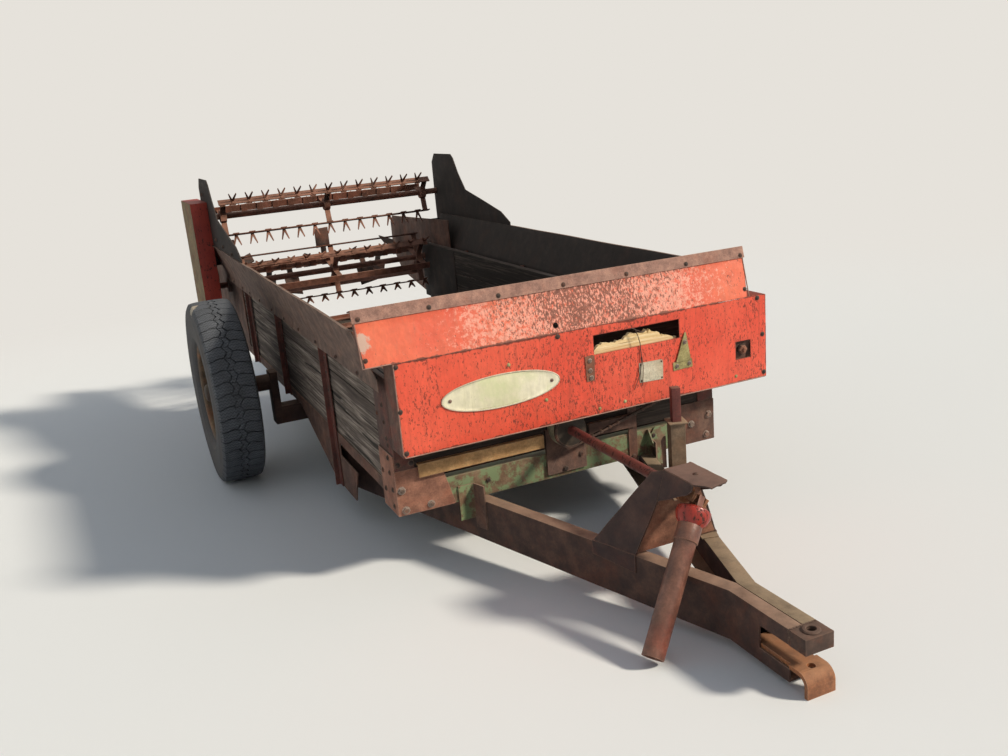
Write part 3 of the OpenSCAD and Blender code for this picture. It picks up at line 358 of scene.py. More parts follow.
# How much of the front is specked, and the flare chalked, from its left edge to its right edge
PANEL_ACROSS = [(0.0, 0.0), (0.25, 0.01), (0.48, 0.04), (0.62, 0.05), (0.75, 0.03), (0.9, 0.01),
                (1.0, 0.03)]
FLARE_BROWN = [(0.10, 0.02), (0.22, 0.06), (0.34, 0.12), (0.50, 0.21), (0.66, 0.20), (0.76, 0.12),
               (0.88, 0.04)]
FLARE_PINK = [(0.10, 0.0), (0.19, 0.04), (0.26, 0.15), (0.42, 0.2), (0.78, 0.2), (0.88, 0.1),
              (0.97, 0.04)]
MATERIALS = {
    # Hot-rolled channel, near black with mill scale and soil; its top catches dust.
    "beam_steel": rusted_steel("tongue_beam_hot_rolled_steel_rusted", "#2c1e1b", "#422f29",
        "#5c4338", "#a08470", 0.8, orange="#74402a", orange_amount=0.25, edge="#8a6c5b"),
    # Flat bar and plate of the frame, an even chocolate rust.
    "frame_steel": rusted_steel("frame_flat_bar_rusted", "#382822", "#563f36", "#775a4b", "#a58a74",
        0.6, orange="#83482c", orange_amount=0.3),
    # The right beam and stand: worn khaki where the sun and feet reach.
    "tan_steel": rusted_steel("khaki_worn_steel_rolled", "#4c4035", "#6e5c4a", "#8c755f", "#a08f76",
        0.6, orange="#8a5c38", orange_amount=0.3, edge="#a89478"),
    # Front sill bar, left part: yellow-brown surface rust, painted lighter to stand in for the
    # full sun on it.
    "sill_bar": rusted_steel("front_sill_bar_rust_painted_sunlit", "#80603f", "#b08a5c", "#cfa775",
        "#c9ab83", 0.5, orange="#b07c45", orange_amount=0.5),
    # Corner gussets: primer gone brown-pink, scraped bare at the rim.
    "gusset_steel": rusted_steel("corner_gusset_plate_primed_and_rusted", "#5f3f33", "#875d4b",
        "#9e705b", "#b79c88", 0.7, grain_mm=7, orange="#8c4c34", orange_amount=0.4, edge="#b39c8c"),
    # Posts and stakes: dark red oxide paint nearly all weathered to brown.
    "post_steel": rusted_steel("post_angle_red_oxide_paint_weathered", "#2e1f1c", "#4b342d",
        "#684a3e", "#86695a", 0.4, grain_mm=7, orange="#6e2c22", orange_amount=0.5),
    # Stakes: the same paint where more of it is left, so a redder brown.
    "stake_steel": rusted_steel("stake_angle_dark_red_paint", "#34201d", "#4f2b25", "#643a31",
        "#8c6a5a", 0.4, grain_mm=8, orange="#742e24", orange_amount=0.5, edge="#83604f"),
    # Stand leg: old dark red paint in brown patches.
    "leg_steel": rusted_steel("stand_leg_bar_old_red_paint", "#3a1d1b", "#5c2c28", "#733c34",
        "#8c6a5a", 0.5, orange="#4d3a2e", orange_amount=0.6),
    # Sheet of the side flares outside: grey-brown film of rust and dust.
    "flare_outside": rusted_steel("side_flare_sheet_dusty_rust", "#41342e", "#645047", "#846858",
        "#937d6c", 0.4, grain_mm=6, orange="#7a4a35", orange_amount=0.2),
    # Sheet beside the beaters and inside the box: black-brown from years of manure.
    "dark_sheet": rusted_steel("liner_sheet_stained_black", "#130f0c", "#1f1918", "#332824",
        "#584a42", 0.3, grain_mm=9, orange="#40281f", orange_amount=0.3, edge="#5f5046"),
    # Beaters, bars and teeth: dark rust, polished lighter on the edges by the load.
    "beater_steel": rusted_steel("beater_bar_steel_scoured_rust", "#40291f", "#6b4536", "#926151",
        "#a9826e", 0.4, orange="#86482f", orange_amount=0.5, edge="#a67c69", edge_amount=0.7),
    # Rotor and long shafts: dark brown rust with little dust on it.
    "rotor_steel": rusted_steel("rotor_paddle_steel_dark", "#201713", "#352723", "#4f3a30",
        "#6c574a", 0.4),
    # Hitch jaw: bright orange rust where the drawbar rubs it.
    "jaw_steel": rusted_steel("hitch_jaw_forged_steel_bright_rust", "#573626", "#85573b", "#a8734f",
        "#ab8364", 0.5, orange="#a8632f", orange_amount=0.7, edge="#c79c7c"),
    # Top of the hitch: dull dark brown, against the bright jaw under it.
    "hitch_top": rusted_steel("hitch_block_steel_brown_rust", "#2b201b", "#42312a", "#5a453a",
        "#82695b", 0.4),
    # Plate across the braces, bare and reddish where the sun reaches it.
    "cross_plate": rusted_steel("brace_cross_plate_red_brown_rust", "#543629", "#7d5441", "#9a6e56",
        "#a5816a", 0.4, grain_mm=7, orange="#8a4c34", orange_amount=0.4),
    # Turned-in sides of the front sheets: more rust than paint.
    "return_steel": rusted_steel("front_sheet_return_rust_and_red", "#3a2722", "#5b4137", "#7a5a4b",
        "#8f7464", 0.4, grain_mm=7, orange="#8c3b2a", orange_amount=0.55),
    # Hood over the joint: thin sheet, dull purple-brown, top pale with dust.
    "hood_sheet": rusted_steel("joint_hood_sheet_brown_rust", "#251c1e", "#352726", "#4a3631",
        "#80665a", 0.7, grain_mm=10, orange="#5f3628", orange_amount=0.3, edge="#8a6b5a"),
    # Drive tube: drawn tube with a smooth purple-brown skin that the sun glints on.
    "tube_steel": rusted_steel("drive_tube_drawn_steel_brown", "#432b26", "#674438", "#8a6051",
        "#a98368", 0.2, grain_mm=7, orange="#7f3c2c", orange_amount=0.5, gloss=0.42,
        edge="#b5866a"),
    # Bell of the joint: dark red enamel that still shines, half of it gone.
    "bell_enamel": chipped_paint("joint_bell_red_enamel_worn", "#86261b", "#a92f20", "#43271f",
        "#241613", 4.0, 0.56, gloss=0.32, streak="#3f1814", streak_amount=0.8, stain="#3d241f",
        scab_at=0.57),
    # Input shaft: dark red paint, dull with soil.
    "shaft_paint": chipped_paint("input_shaft_dark_red_paint", "#5c2a25", "#6d352d", "#4a2f27",
        "#2c1b18", 5.0, 0.54, gloss=0.5, streak="#4a2420", stain="#53382f"),
    # Front panel: orange-red enamel with fine upright rust specks and darker rain streaks.
    "panel_paint": chipped_paint("front_panel_red_enamel_specked", "#da4e36", "#e35e44", "#7c3c2e",
        "#4f2a22", 2.8, 0.585, across=PANEL_ACROSS, streak="#a04330", streak_amount=0.6,
        rust_amount=0.85, scab_at=0.69, edge_mm=7.0, sheet=(-0.725, 0.919, 0.275, 0.632, 0.007)),
    # Flare above it: the same enamel chalked pink and eaten to brown over the middle.
    "flare_paint": chipped_paint("upper_flare_red_enamel_eroded", "#d4583f", "#dc6c4c", "#8b5a4b",
        "#67433a", 3.0, 0.66, across=FLARE_BROWN, pale="#e39c88", pale_across=FLARE_PINK,
        streak="#bd6a52", rust_amount=0.92, scab_at=0.70, edge_mm=6.0,
        spot=((-0.825, -0.11, 0.722), 0.045, "#c2aa9b"), sheet=(-0.836, 0.836, 0.634, 0.95, 0.006)),
    # Bar along the flare's top and the folded edges: light brown with a cast of pink.
    "strip_steel": rusted_steel("flare_top_strip_flat_bar_brown", "#70524a", "#947164", "#b38a78",
        "#a8958a", 0.4, grain_mm=5, orange="#8e5644", orange_amount=0.4, edge="#b39685"),
    # Chain guard: deep red paint, rusted through in specks and scabs.
    "guard_paint": chipped_paint("chain_guard_sheet_red_paint", "#8b2a1f", "#a83a2a", "#4b2a22",
        "#2c1a17", 5.0, 0.58, gloss=0.6, streak="#5a241d"),
    # Its side: tan rust with scraps of the red paint.
    "guard_side": rusted_steel("chain_guard_side_sheet_tan_rust", "#5b4d38", "#79674a", "#92805c",
        "#8d7d62", 0.4, orange="#6a3a28", orange_amount=0.4, old_paint="#7c2c20",
        paint_amount=0.25),
    # Front channel: green implement enamel, rubbed through and muddied.
    "channel_paint": rusted_steel("front_channel_green_enamel_scuffed", "#4a3a2c", "#6a543f",
        "#86705a", "#a3997d", 0.6, grain_mm=8, orange="#6d4a34", orange_amount=0.4,
        old_paint="#6f805c", paint_amount=0.62, edge="#8a7a64", gloss=0.7),
    # Side boards: weathered silver-grey, with dark grain and open cracks.
    "side_wood": weathered_board("side_boards_softwood_weathered_grey", "y", "#352c27", "#574c45",
        "#998d82"),
    # Front wall: the same wood stained brown.
    "wall_wood": weathered_board("front_boards_softwood_stained", "x", "#261f1b", "#3c332c",
        "#5a4f46"),
    # Boards inside the box: near black with old manure, paler on the grain.
    "inner_wood": weathered_board("inner_boards_softwood_black_with_manure", "y", "#110e0c",
        "#221c19", "#5c534b"),
    # Floor boards: grey-brown, worn along the grain.
    "floor_wood": weathered_board("floor_boards_softwood_worn", "y", "#2e2721", "#4b4137",
        "#6e6152"),
    # Torn board behind the slot: the light yellow of a fresh break.
    "torn_wood": weathered_board("torn_board_fresh_softwood", "x", "#b2925f", "#e2c894", "#f2e2bb",
        crack="#7c5c38"),
    # Tyres: greyed black, brown with dust in the lows, light where a block is scuffed, and a
    # painted highlight on top of one shoulder.
    "tyre_rubber": old_rubber("tyre_rubber_weathered", "#3d4045", "#555a61", "#453e38", "#777b82"),
    # Rims: tan rust, orange along the edges.
    "rim_steel": rusted_steel("rim_pressed_steel_tan_rust", "#3c332a", "#5b4b3b", "#7a654b",
        "#8b765c", 0.4, orange="#94532a", orange_amount=0.5, edge="#a7622f", edge_amount=0.8),
    # Bearing ring: sand-cast iron, grey-green where its paint has thinned, and painted lighter as
    # if lit by the sun, so that it shows against the plates in the panel's shade.
    "ring_casting_painted_lit": rusted_steel("bearing_ring_cast_iron_grey_green_painted_lit", "#403c31", "#6b6652",
        "#918c74", "#99937c", 0.4, gloss=0.7),
    # Castings and chain: black old grease holding grit.
    "greasy_casting": rusted_steel("bearing_casting_iron_greasy", "#1d1712", "#332a21", "#4f4537",
        "#6d604e", 0.5, gloss=0.65),
    # Chains: dark brown with a little shine of oil.
    "chain_steel": rusted_steel("drive_chain_steel_oily_rust", "#241a16", "#3f2e26", "#604738",
        "#74604e", 0.4, grain_mm=5, gloss=0.62),
    # Bolt heads: plating gone grey-brown, their edges rubbed light.
    "bolt_steel": rusted_steel("bolt_head_plated_steel_rusted", "#40332c", "#67564b", "#8b7a6d",
        "#a1948a", 0.4, grain_mm=4, gloss=0.6, edge="#b8aca0", edge_amount=0.7),
    # Older bolts and the wire: nearly black.
    "dark_bolt": rusted_steel("bolt_head_black_steel", "#1c1614", "#2f2522", "#473834", "#5e5046",
        0.4, grain_mm=4),
    # Pressed oval plate: cream enamel with green stains, worn to metal along its edge.
    "oval_enamel": chipped_paint("oval_plate_cream_enamel", "#ebe7cf", "#ddd9ba", "#8d7f63",
        "#5d4f3f", 4.0, 0.66, streak="#c6c39c", gloss=0.3, scab_at=0.68, rust_amount=0.5,
        stain="#cdd2a6", edge_mm=8.0),
    # Small plate and rim of the oval: pale dull zinc.
    "label_zinc": rusted_steel("label_plate_dulled_zinc", "#a39a84", "#c5bea8", "#d8d2bd",
        "#cfc8b2", 0.3, grain_mm=6, orange="#a38a68", orange_amount=0.35, edge="#8f8672",
        gloss=0.6),
    # Catch and old rivets: yellowed paint, a little green.
    "lichen_bracket": rusted_steel("bracket_plate_yellowed_paint", "#6c6442", "#98905f", "#b9b281",
        "#b9b493", 0.3, grain_mm=6, orange="#8a5a36", orange_amount=0.45, edge="#6f5c40"),
}


# Pieces
def round_edges(work, width, least_turn, least_length=-1.0):
    """Bevels the edges that turn by more than an angle in degrees and are long enough."""
    sharp = [e for e in work.edges
             if len(e.link_faces) == 2 and e.calc_face_angle(0) > math.radians(least_turn)
             and e.calc_length() > least_length]
    bmesh.ops.bevel(work, geom=sharp, offset=width, segments=2, profile=0.6, affect="EDGES",
                    clamp_overlap=True)


def skin(node, material, bevel=1.2, cuts=(), move=None, others=()):
    """The CAD node's own surface with rounded edges, cut fine where it is to be dented, in place
    of the node. others are pairs of a material and a test of a face's centre and normal."""
    work = bmesh.new()
    work.from_mesh(NODES[node].data)
    work.transform(TO_MM)
    bmesh.ops.remove_doubles(work, verts=work.verts, dist=0.02)
    bmesh.ops.dissolve_limit(work, angle_limit=math.radians(1.5), verts=work.verts,
                             edges=work.edges)
    round_edges(work, bevel, 28, bevel * 2.2)
    for axis, step in cuts:
        values = [v.co[axis] for v in work.verts]
        low, high = min(values), max(values)
        normal = Vector([1.0 if i == axis else 0.0 for i in range(3)])
        at = math.floor(low / step) * step + step
        while at < high - 0.01:
            bmesh.ops.bisect_plane(work, geom=work.verts[:] + work.edges[:] + work.faces[:],
                                   plane_co=normal * at, plane_no=normal, dist=0.001)
            at += step
    work.normal_update()
    for face in work.faces:
        for k, (key, picks) in enumerate(others):
            if picks(face.calc_center_median(), face.normal):
                face.material_index = k + 1
    if move:
        for vert in work.verts:
            vert.co = move(vert.co.copy())
    finish_piece(work, node + "_skin", material, BODY_OF[node], (node,),
                 more=[key for key, picks in others])


def finish_piece(work, name, material, body="frame", replaced=(), bevel=0.0,
                 angle=32, at=(0, 0, 0), more=()):
    """Turns millimetre mesh work in the drawing's frame into an object that rides on a body."""
    if bevel:
        round_edges(work, bevel, 30)
    bmesh.ops.recalc_face_normals(work, faces=work.faces)
    bmesh.ops.scale(work, vec=(0.001, 0.001, 0.001), verts=work.verts)
    mesh = bpy.data.meshes.new(name)
    work.to_mesh(mesh)
    work.free()
    mesh.shade_smooth()
    mesh.set_sharp_from_angle(angle=math.radians(angle))
    piece = bpy.data.objects.new(name, mesh)
    bpy.context.scene.collection.objects.link(piece)
    for key in (material, *more):
        mesh.materials.append(MATERIALS[key])
    piece.matrix_world = PARK @ Matrix.Translation(Vector(at) / 1000)
    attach(piece, body)
    if replaced:
        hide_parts(*replaced)


def pointed(at, axis, across=None):
    """A frame at a point whose z runs along axis."""
    z = Vector(axis).normalized()
    hint = Vector(across or ((0, 0, 1) if abs(z.z) < 0.9 else (0, 1, 0)))
    x = hint.cross(z).normalized()
    return Matrix.Translation(Vector(at)) @ Matrix((x, z.cross(x), z)).transposed().to_4x4()


def ring(work, place, radius, count, height=0, squash=(1.0, 1.0)):
    """Points round the frame's z, or the one point on it where the radius is 0."""
    if radius == 0:
        return [work.verts.new(place @ Vector((0, 0, height)))]
    return [work.verts.new(place @ Vector((radius * math.cos(i * math.tau / count) * squash[0],
                                           radius * math.sin(i * math.tau / count) * squash[1],
                                           height))) for i in range(count)]


def bridge(work, rings):
    """Walls from each closed ring of points to the next."""
    for low, high in zip(rings, rings[1:]):
        count = max(len(low), len(high))
        for i in range(count):
            j = (i + 1) % count
            corners = list(dict.fromkeys([low[i % len(low)], low[j % len(low)],
                                          high[j % len(high)], high[i % len(high)]]))
            if len(corners) > 2:
                work.faces.new(corners)


def lathe(work, profile, count, place, squash=(1.0, 1.0)):
    """Turns (radius, height) points round the frame's z. A radius of 0 closes the end."""
    bridge(work, [ring(work, place, radius, count, height, squash) for radius, height in profile])


def prism(work, outline, thick, place):
    """A plate with that outline, from z = 0 to its thickness in the frame."""
    low, high = [[work.verts.new(place @ Vector((x, y, z))) for x, y in outline]
                 for z in (0, thick)]
    work.faces.new(low[::-1])
    work.faces.new(high)
    bridge(work, [low, high])


def rope(work, points, radius, count=6):
    """A round bar or wire along points, closed at both ends."""
    points = [Vector(p) for p in points]
    rings = []
    for k, point in enumerate(points):
        ahead = points[min(k + 1, len(points) - 1)] - points[max(k - 1, 0)]
        rings.append(ring(work, pointed(point, ahead, (0.31, 0.52, 0.79)),
                          radius(k) if callable(radius) else radius, count))
    bridge(work, rings)
    work.faces.new(rings[0][::-1])
    work.faces.new(rings[-1])


def bolt(work, at, axis, size=12.0, turn=0.0, head="hex", washer=True):
    """A bolt on a surface: washer, and a hexagon with a chamfered crown or a round rivet head."""
    place = pointed(at, axis) @ Matrix.Rotation(turn, 4, "Z")
    if washer:
        lathe(work, [(size * 0.5, -1.0), (size * 1.05, -1.0), (size * 1.05, 1.4),
                     (size * 0.5, 1.9)], 20, place)
    if head == "hex":
        lathe(work, [(size * 0.86, 0.5), (size * 0.86, size * 0.52), (size * 0.70, size * 0.64),
                     (0, size * 0.66)], 6, place)
    else:
        lathe(work, [(size * 0.9, 0.2), (size * 0.84, size * 0.25), (size * 0.6, size * 0.45),
                     (size * 0.3, size * 0.54), (0, size * 0.56)], 14, place)


def bolts(name, spots, material):
    """One object with all the bolt heads of a place: each spot is (point, axis, size, head)."""
    work = bmesh.new()
    for k, (at, axis, size, head) in enumerate(spots):
        bolt(work, at, axis, size, k * 0.71, head)
    finish_piece(work, name, material, angle=35)


def plates(name, material, parts, bevel=0.6, dent=None):
    """One object of flat plates, each (outline, thickness, frame), that follow a sheet's dents."""
    work = bmesh.new()
    for outline, thick, place in parts:
        prism(work, outline, thick, place)
    if dent:
        hug(work, dent)
    finish_piece(work, name, material, bevel=bevel)


def ropes(name, material, strands, angle=32):
    """One object of bars, wires or welds, each (points, radius, sides)."""
    work = bmesh.new()
    for points, radius, count in strands:
        rope(work, points, radius, count)
    finish_piece(work, name, material, angle=angle)


def sway(point, size_mm, seed):
    """A smooth random vector that repeats on every run."""
    return noise.noise_vector(Vector(point) / size_mm
                              + Vector((seed * 13.7, seed * 5.1, seed * 3.3)))


def mirrored(spots):
    """Bolt spots of the left side, and the same on the right."""
    return spots + [((-x, y, z), (-ax, ay, az), size, head)
                    for (x, y, z), (ax, ay, az), size, head in spots]


# Dents, which whatever is fastened there follows
FLARE_FOOT_Z, FLARE_DEEP, FLARE_HIGH = 633.1, 54.0, 201.0
FLARE_TILT = math.atan2(FLARE_DEEP, FLARE_HIGH)
FLARE_OUT = Vector((0, -math.cos(FLARE_TILT), math.sin(FLARE_TILT)))
FLARE_LONG = FLARE_HIGH / math.cos(FLARE_TILT)


def panel_dent(p):
    return Vector((0, sway(p, 240, 15).y * 2.4 + sway(p, 90, 16).y * 0.7, 0))


def flare_dent(p):
    return Vector((0, sway(p, 280, 17).y * 2.0, sway(p, 500, 18).z * 1.5))


def on_panel(x, z, out=0.0):
    p = Vector((x, -PANEL_Y, z))
    return p + panel_dent(p) + Vector((0, -out, 0))


def on_flare(x, z, out=0.0):
    p = Vector((x, -PANEL_Y + (z - FLARE_FOOT_Z) * math.tan(FLARE_TILT), z))
    return p + flare_dent(p) + FLARE_OUT * out


def off_flare(p):
    """How far a point lies in front of the flare's sheet, and how far up the sheet."""
    leg = Vector((0, p.y + PANEL_Y, p.z - FLARE_FOOT_Z))
    return leg.dot(FLARE_OUT), leg.y * math.sin(FLARE_TILT) + leg.z * math.cos(FLARE_TILT)


def hug(work, dent):
    """Lets a thin piece follow the dents of the sheet under it."""
    for vert in work.verts:
        vert.co += dent(Vector((vert.co.x, -PANEL_Y, vert.co.z)))


def inside(p, n):
    """Faces that look into the box."""
    return n.x * p.x < -0.3 * abs(p.x)


# Tongue, hitch and frame
for side in ("left", "right"):
    skin("tongue_" + side, "beam_steel" if side == "left" else "tan_steel", 2.2, [(1, 120)],
         lambda p: p + sway(p, 260, 1) * 0.9, [("beam_steel", lambda p, n: n.z < 0.7)])
    # The right gusset takes the darker frame rust, as painted shade where the panel shadows it.
    skin("corner_gusset_" + side, "gusset_steel" if side == "left" else "frame_steel", 1.4,
         [(2, 40), (0, 60)], lambda p: p + sway(p, 90, 2) * 0.8)
    skin("side_rail_" + side, "frame_steel", 1.4, [(1, 150)], lambda p: p + sway(p, 300, 3) * 1.6)
    skin("side_stakes_" + side, "stake_steel", 1.2, [(2, 90)], lambda p: p + sway(p, 160, 4),
         [("post_steel", lambda p, n: p.y < 200)])
skin("hitch_head", "hitch_top", 2.4, others=[("jaw_steel", lambda p, n: p.z < -60)])
skin("front_channel", "channel_paint", 2.0, [(0, 70), (2, 27)],
     lambda p: p + sway(p, 130, 5) * 1.1)
skin("front_straps", "frame_steel", 1.2,
     others=[("channel_paint", lambda p, n: p.x < -400 and n.y < -0.7 and n.x < 0.1)])
skin("axle", "beam_steel", 2.0)
skin("floor_sills", "frame_steel", 1.2)
skin("stand_tube", "tan_steel", 2.0)
skin("stand_leg", "leg_steel", 1.6)
skin("shaft_hood", "hood_sheet", 1.0, [(1, 30), (2, 30), (0, 24)],
     lambda p: p + sway(p, 70, 6) * 1.6)

# Box
for side in ("left", "right"):
    skin("side_boards_" + side, "side_wood", 2.5, [(1, 70), (2, 24)],
         lambda p: p + Vector((sway((p.x, p.y * 0.25, p.z), 40, 7).x * 2.6
                               + sway((0, p.y, p.z * 2), 500, 8).x * 3.0,
                               0, sway((p.x, p.y * 0.3, p.z), 90, 9).z * 1.8)),
         [("inner_wood", inside)])
    skin("side_flare_" + side, "flare_outside", 0.9, [(1, 90), (2, 40)],
         lambda p: p + Vector((sway(p, 330, 10).x * 4.0, 0, sway(p, 420, 11).z * 3.0)),
         [("dark_sheet", inside)])
    skin("beater_plate_" + side, "dark_sheet", 1.0, [(1, 80), (2, 80)],
         lambda p: p + Vector((sway(p, 300, 12).x * 2.2, 0, 0)))
    skin("rear_arm_" + side, "frame_steel", 1.6, [(1, 120)],
         lambda p: p + Vector((sway(p, 260, 13).x * 1.2, 0, 0)))
skin("front_wall", "wall_wood", 2.0, [(0, 90), (2, 30)],
     lambda p: p + Vector((0, sway(p, 120, 14).y * 1.6, 0)))
skin("floor_boards", "floor_wood", 2.0)
skin("front_panel", "panel_paint", 0.9, [(0, 45), (2, 45)], lambda p: p + panel_dent(p),
     [("return_steel", lambda p, n: n.x < -0.5)])
skin("front_flare", "flare_paint", 1.0, [(0, 50), (2, 40)], lambda p: p + flare_dent(p),
     [("strip_steel", lambda p, n: off_flare(p)[0] > 1.0 or off_flare(p)[1] > FLARE_LONG - 2),
      ("return_steel", lambda p, n: n.x < -0.5)])
skin("chain_guard", "guard_paint", 1.2, [(1, 70), (2, 70)],
     lambda p: p + Vector((sway(p, 220, 19).x * 3.0, sway(p, 220, 20).y * 1.5, 0)),
     [("guard_side", lambda p, n: n.x < -0.5)])
skin("floor_slats", "beater_steel", 0.8)
skin("floor_chain", "chain_steel", 1.0)
skin("floor_shafts", "rotor_steel", 1.0)
skin("gear_case", "greasy_casting", 4.0)
# The bearings take the cast iron that is painted lighter, as lit.
skin("shaft_bearings", "ring_casting_painted_lit", 2.0, others=[("frame_steel", lambda p, n: p.y > -14)])
skin("cross_chain", "chain_steel", 1.0)
skin("upper_beater", "beater_steel", 0.8)
skin("lower_beater", "beater_steel", 0.8)
skin("spreading_rotor", "rotor_steel", 1.0)
skin("input_shaft", "shaft_paint", 1.2, others=[("greasy_casting", lambda p, n: p.y > -90),
                                                ("jaw_steel", lambda p, n: p.y < -850)])
skin("side_shaft", "rotor_steel", 1.0)
JOINT = Vector((0, -JOINT_Y, INPUT_Z))
TUBE_WAY = Vector((-0.5795, -0.3373, -0.7415)).normalized()


def on_bell(p, n):
    """The joint's bell and the top of the ring below it, by how far along and off the tube."""
    along = (p - JOINT).dot(TUBE_WAY)
    off = (p - JOINT - TUBE_WAY * along).length
    return 26 < along < 112 and off > 39.5


skin("drive_tube", "tube_steel", 0.8,
     others=[("bell_enamel", on_bell), ("jaw_steel", lambda p, n: (p - JOINT).length < 31)])
for side in ("left", "right"):
    skin("rim_" + side, "rim_steel", 1.2)

# Front panel's fittings
FRONT, LEFT, RIGHT, UP = (0, -1, 0), (-1, 0, 0), (1, 0, 0), (0, 0, 1)


def facing_front(out):
    """x and z of the drawing as the frame's own x and y, on a plane that much before the panel."""
    return pointed((0, -PANEL_Y - out, 0), FRONT)


bolts("panel_bolts", [(on_panel(x, z), FRONT, 10, "round") for x, z in (
    (-716, 621), (-718, 453), (-712, 292), (876, 622), (900, 463), (906, 296), (-64, 620))],
    "dark_bolt")
bolts("flare_bolts", [(on_flare(x, z, out), FLARE_OUT, 9, "round") for x, z, out in (
    (-820, 662, 0), (820, 667, 0), (-820, 805, 5), (-553, 805, 5), (-277, 805, 5), (-4, 805, 5),
    (277, 805, 5), (556, 805, 5), (824, 803, 5))], "dark_bolt")

OVAL_X, OVAL_Z, OVAL_HALF, OVAL_RATIO = -314, 456, 245.0, 65 / 245
oval = bmesh.new()
lathe(oval, [(OVAL_HALF, -1), (OVAL_HALF, 1.2), (OVAL_HALF * 0.985, 3.6), (OVAL_HALF * 0.955, 3.8),
             (OVAL_HALF * 0.93, 2.0), (OVAL_HALF * 0.8, 3.0), (OVAL_HALF * 0.4, 4.6), (0, 5.0)],
      72, Matrix.Translation((OVAL_X, 0, OVAL_Z)) @ facing_front(1.0), (1.0, OVAL_RATIO))
hug(oval, panel_dent)
finish_piece(oval, "oval_plate", "oval_enamel", angle=50)
oval_turns = [k * math.tau / 96 for k in range(97)]
ropes("oval_plate_rim", "label_zinc", [
    ([on_panel(OVAL_X + 242.5 * math.cos(a), OVAL_Z + 63.5 * math.sin(a), 3.2)
      for a in oval_turns], 2.9, 8)], 60)

# The sheet's free edges are folded back, and the fold is rubbed to brown metal.
PANEL_FOLD = [(-724, 631 - 14.8 * k) for k in range(24)] + [(-716, 276)]
PANEL_FOLD += [(-700 + 32.3 * k, 275.5) for k in range(50)] + [(912, 276)]
FLARE_END = [792 - 15.7 * k for k in range(11)]
FOLD_R = 2.3
ropes("front_panel_fold", "strip_steel",
      [([on_panel(x, z, 0.4) for x, z in PANEL_FOLD], FOLD_R, 8)], angle=60)
ropes("front_flare_fold", "strip_steel", [
    ([on_flare(-835, z, 0.4) for z in FLARE_END]
     + [on_flare(-826 + 16 * k, 635.5, 0.4) for k in range(7)], FOLD_R, 8),
    ([on_flare(835, z, 0.4) for z in FLARE_END], FOLD_R, 8)], angle=60)
bolts("oval_plate_rivets", [(on_panel(x, OVAL_Z, 4), FRONT, 7, "round") for x in (-525, -104)],
      "bolt_steel")

plates("label_plate", "label_zinc", [
    ([(289, 367), (399, 363), (401, 440), (394, 447), (288, 449)], 1.6, facing_front(0.8))],
    0.4, panel_dent)
bolts("label_rivets", [(on_panel(x, z, 2), FRONT, 4, "round") for x, z in (
    (296, 441), (393, 438), (296, 374), (393, 371))], "dark_bolt")
plates("slot_cover_catch", "lichen_bracket", [
    ([(450, 386), (543, 389), (541, 424), (449, 421)], 2.5, facing_front(0.6)),
    ([(462, 420), (534, 420), (519, 505), (514, 538), (507, 538), (494, 505)], 3.0,
     facing_front(3.0))], dent=panel_dent)
plates("slot_cover_hinge", "cross_plate", [
    ([(50, 418), (86, 417), (89, 517), (80, 522), (47, 519)], 2.5, facing_front(0.6))],
    dent=panel_dent)
bolts("slot_cover_bolts", [(on_panel(x, z, out), FRONT, 9, "hex") for x, z, out in (
    (67, 501, 3), (67, 461, 3), (70, 432, 3), (467, 404, 3), (527, 406, 3), (507, 500, 6))],
    "bolt_steel")
bolts("panel_old_rivets", [(on_panel(x, z), FRONT, 7, "round") for x, z in (
    (100, 298), (217, 304), (761, 304), (-131, 381), (-277, 549))], "lichen_bracket")

# The cover of the slot is gone, and a torn board shows in it.
TORN_TOP = [(94, 531), (136, 556), (180, 547), (225, 552), (265, 573), (300, 565), (356, 569),
            (421, 540), (481, 524)]
torn = [(94, 500)]
for (x0, z0), (x1, z1) in zip(TORN_TOP, TORN_TOP[1:]):
    for k in range(6):
        t = k / 6
        x = x0 + (x1 - x0) * t
        torn.append((x, z0 + (z1 - z0) * t + noise.noise(Vector((x / 9.0, 3.0, 0))) * 14))
plates("torn_board", "torn_wood", [(torn + [TORN_TOP[-1], (481, 500)], 16,
                                    pointed((0, -98, 0), FRONT))], 0.5)

# A bent bit of fencing wire is hooked over the edge of the slot.
ropes("slot_wire", "dark_bolt", [
    ([on_panel(x, z, out) for x, z, out in points], radius, 6) for radius, points in (
        (1.8, ((253, 592, -6), (262, 598, 2), (276, 592, 4), (286, 565, 5), (295, 534, 5),
               (298, 500, 4), (299, 475, 5), (296, 440, 6), (287, 404, 8), (270, 368, 7),
               (260, 344, 5))),
        (1.6, ((279, 588, 6), (300, 578, 9), (318, 576, 7), (326, 584, 6))),
        (1.6, ((299, 475, 8), (303, 430, 9), (300, 388, 8), (299, 354, 5))))])


def square_ring(work, half, hole, thick, place):
    """A square plate with a round hole."""
    rings = []
    for h in (0.0, thick):
        for outer in (False, True):
            points = []
            for i in range(32):
                a = i * math.tau / 32 + math.tau / 8
                c, q = math.cos(a), math.sin(a)
                r = half / max(abs(c), abs(q)) if outer else hole
                points.append(work.verts.new(place @ Vector((r * c, r * q, h))))
            rings.append(points)
    bridge(work, [rings[k] for k in (0, 1, 3, 2, 0)])


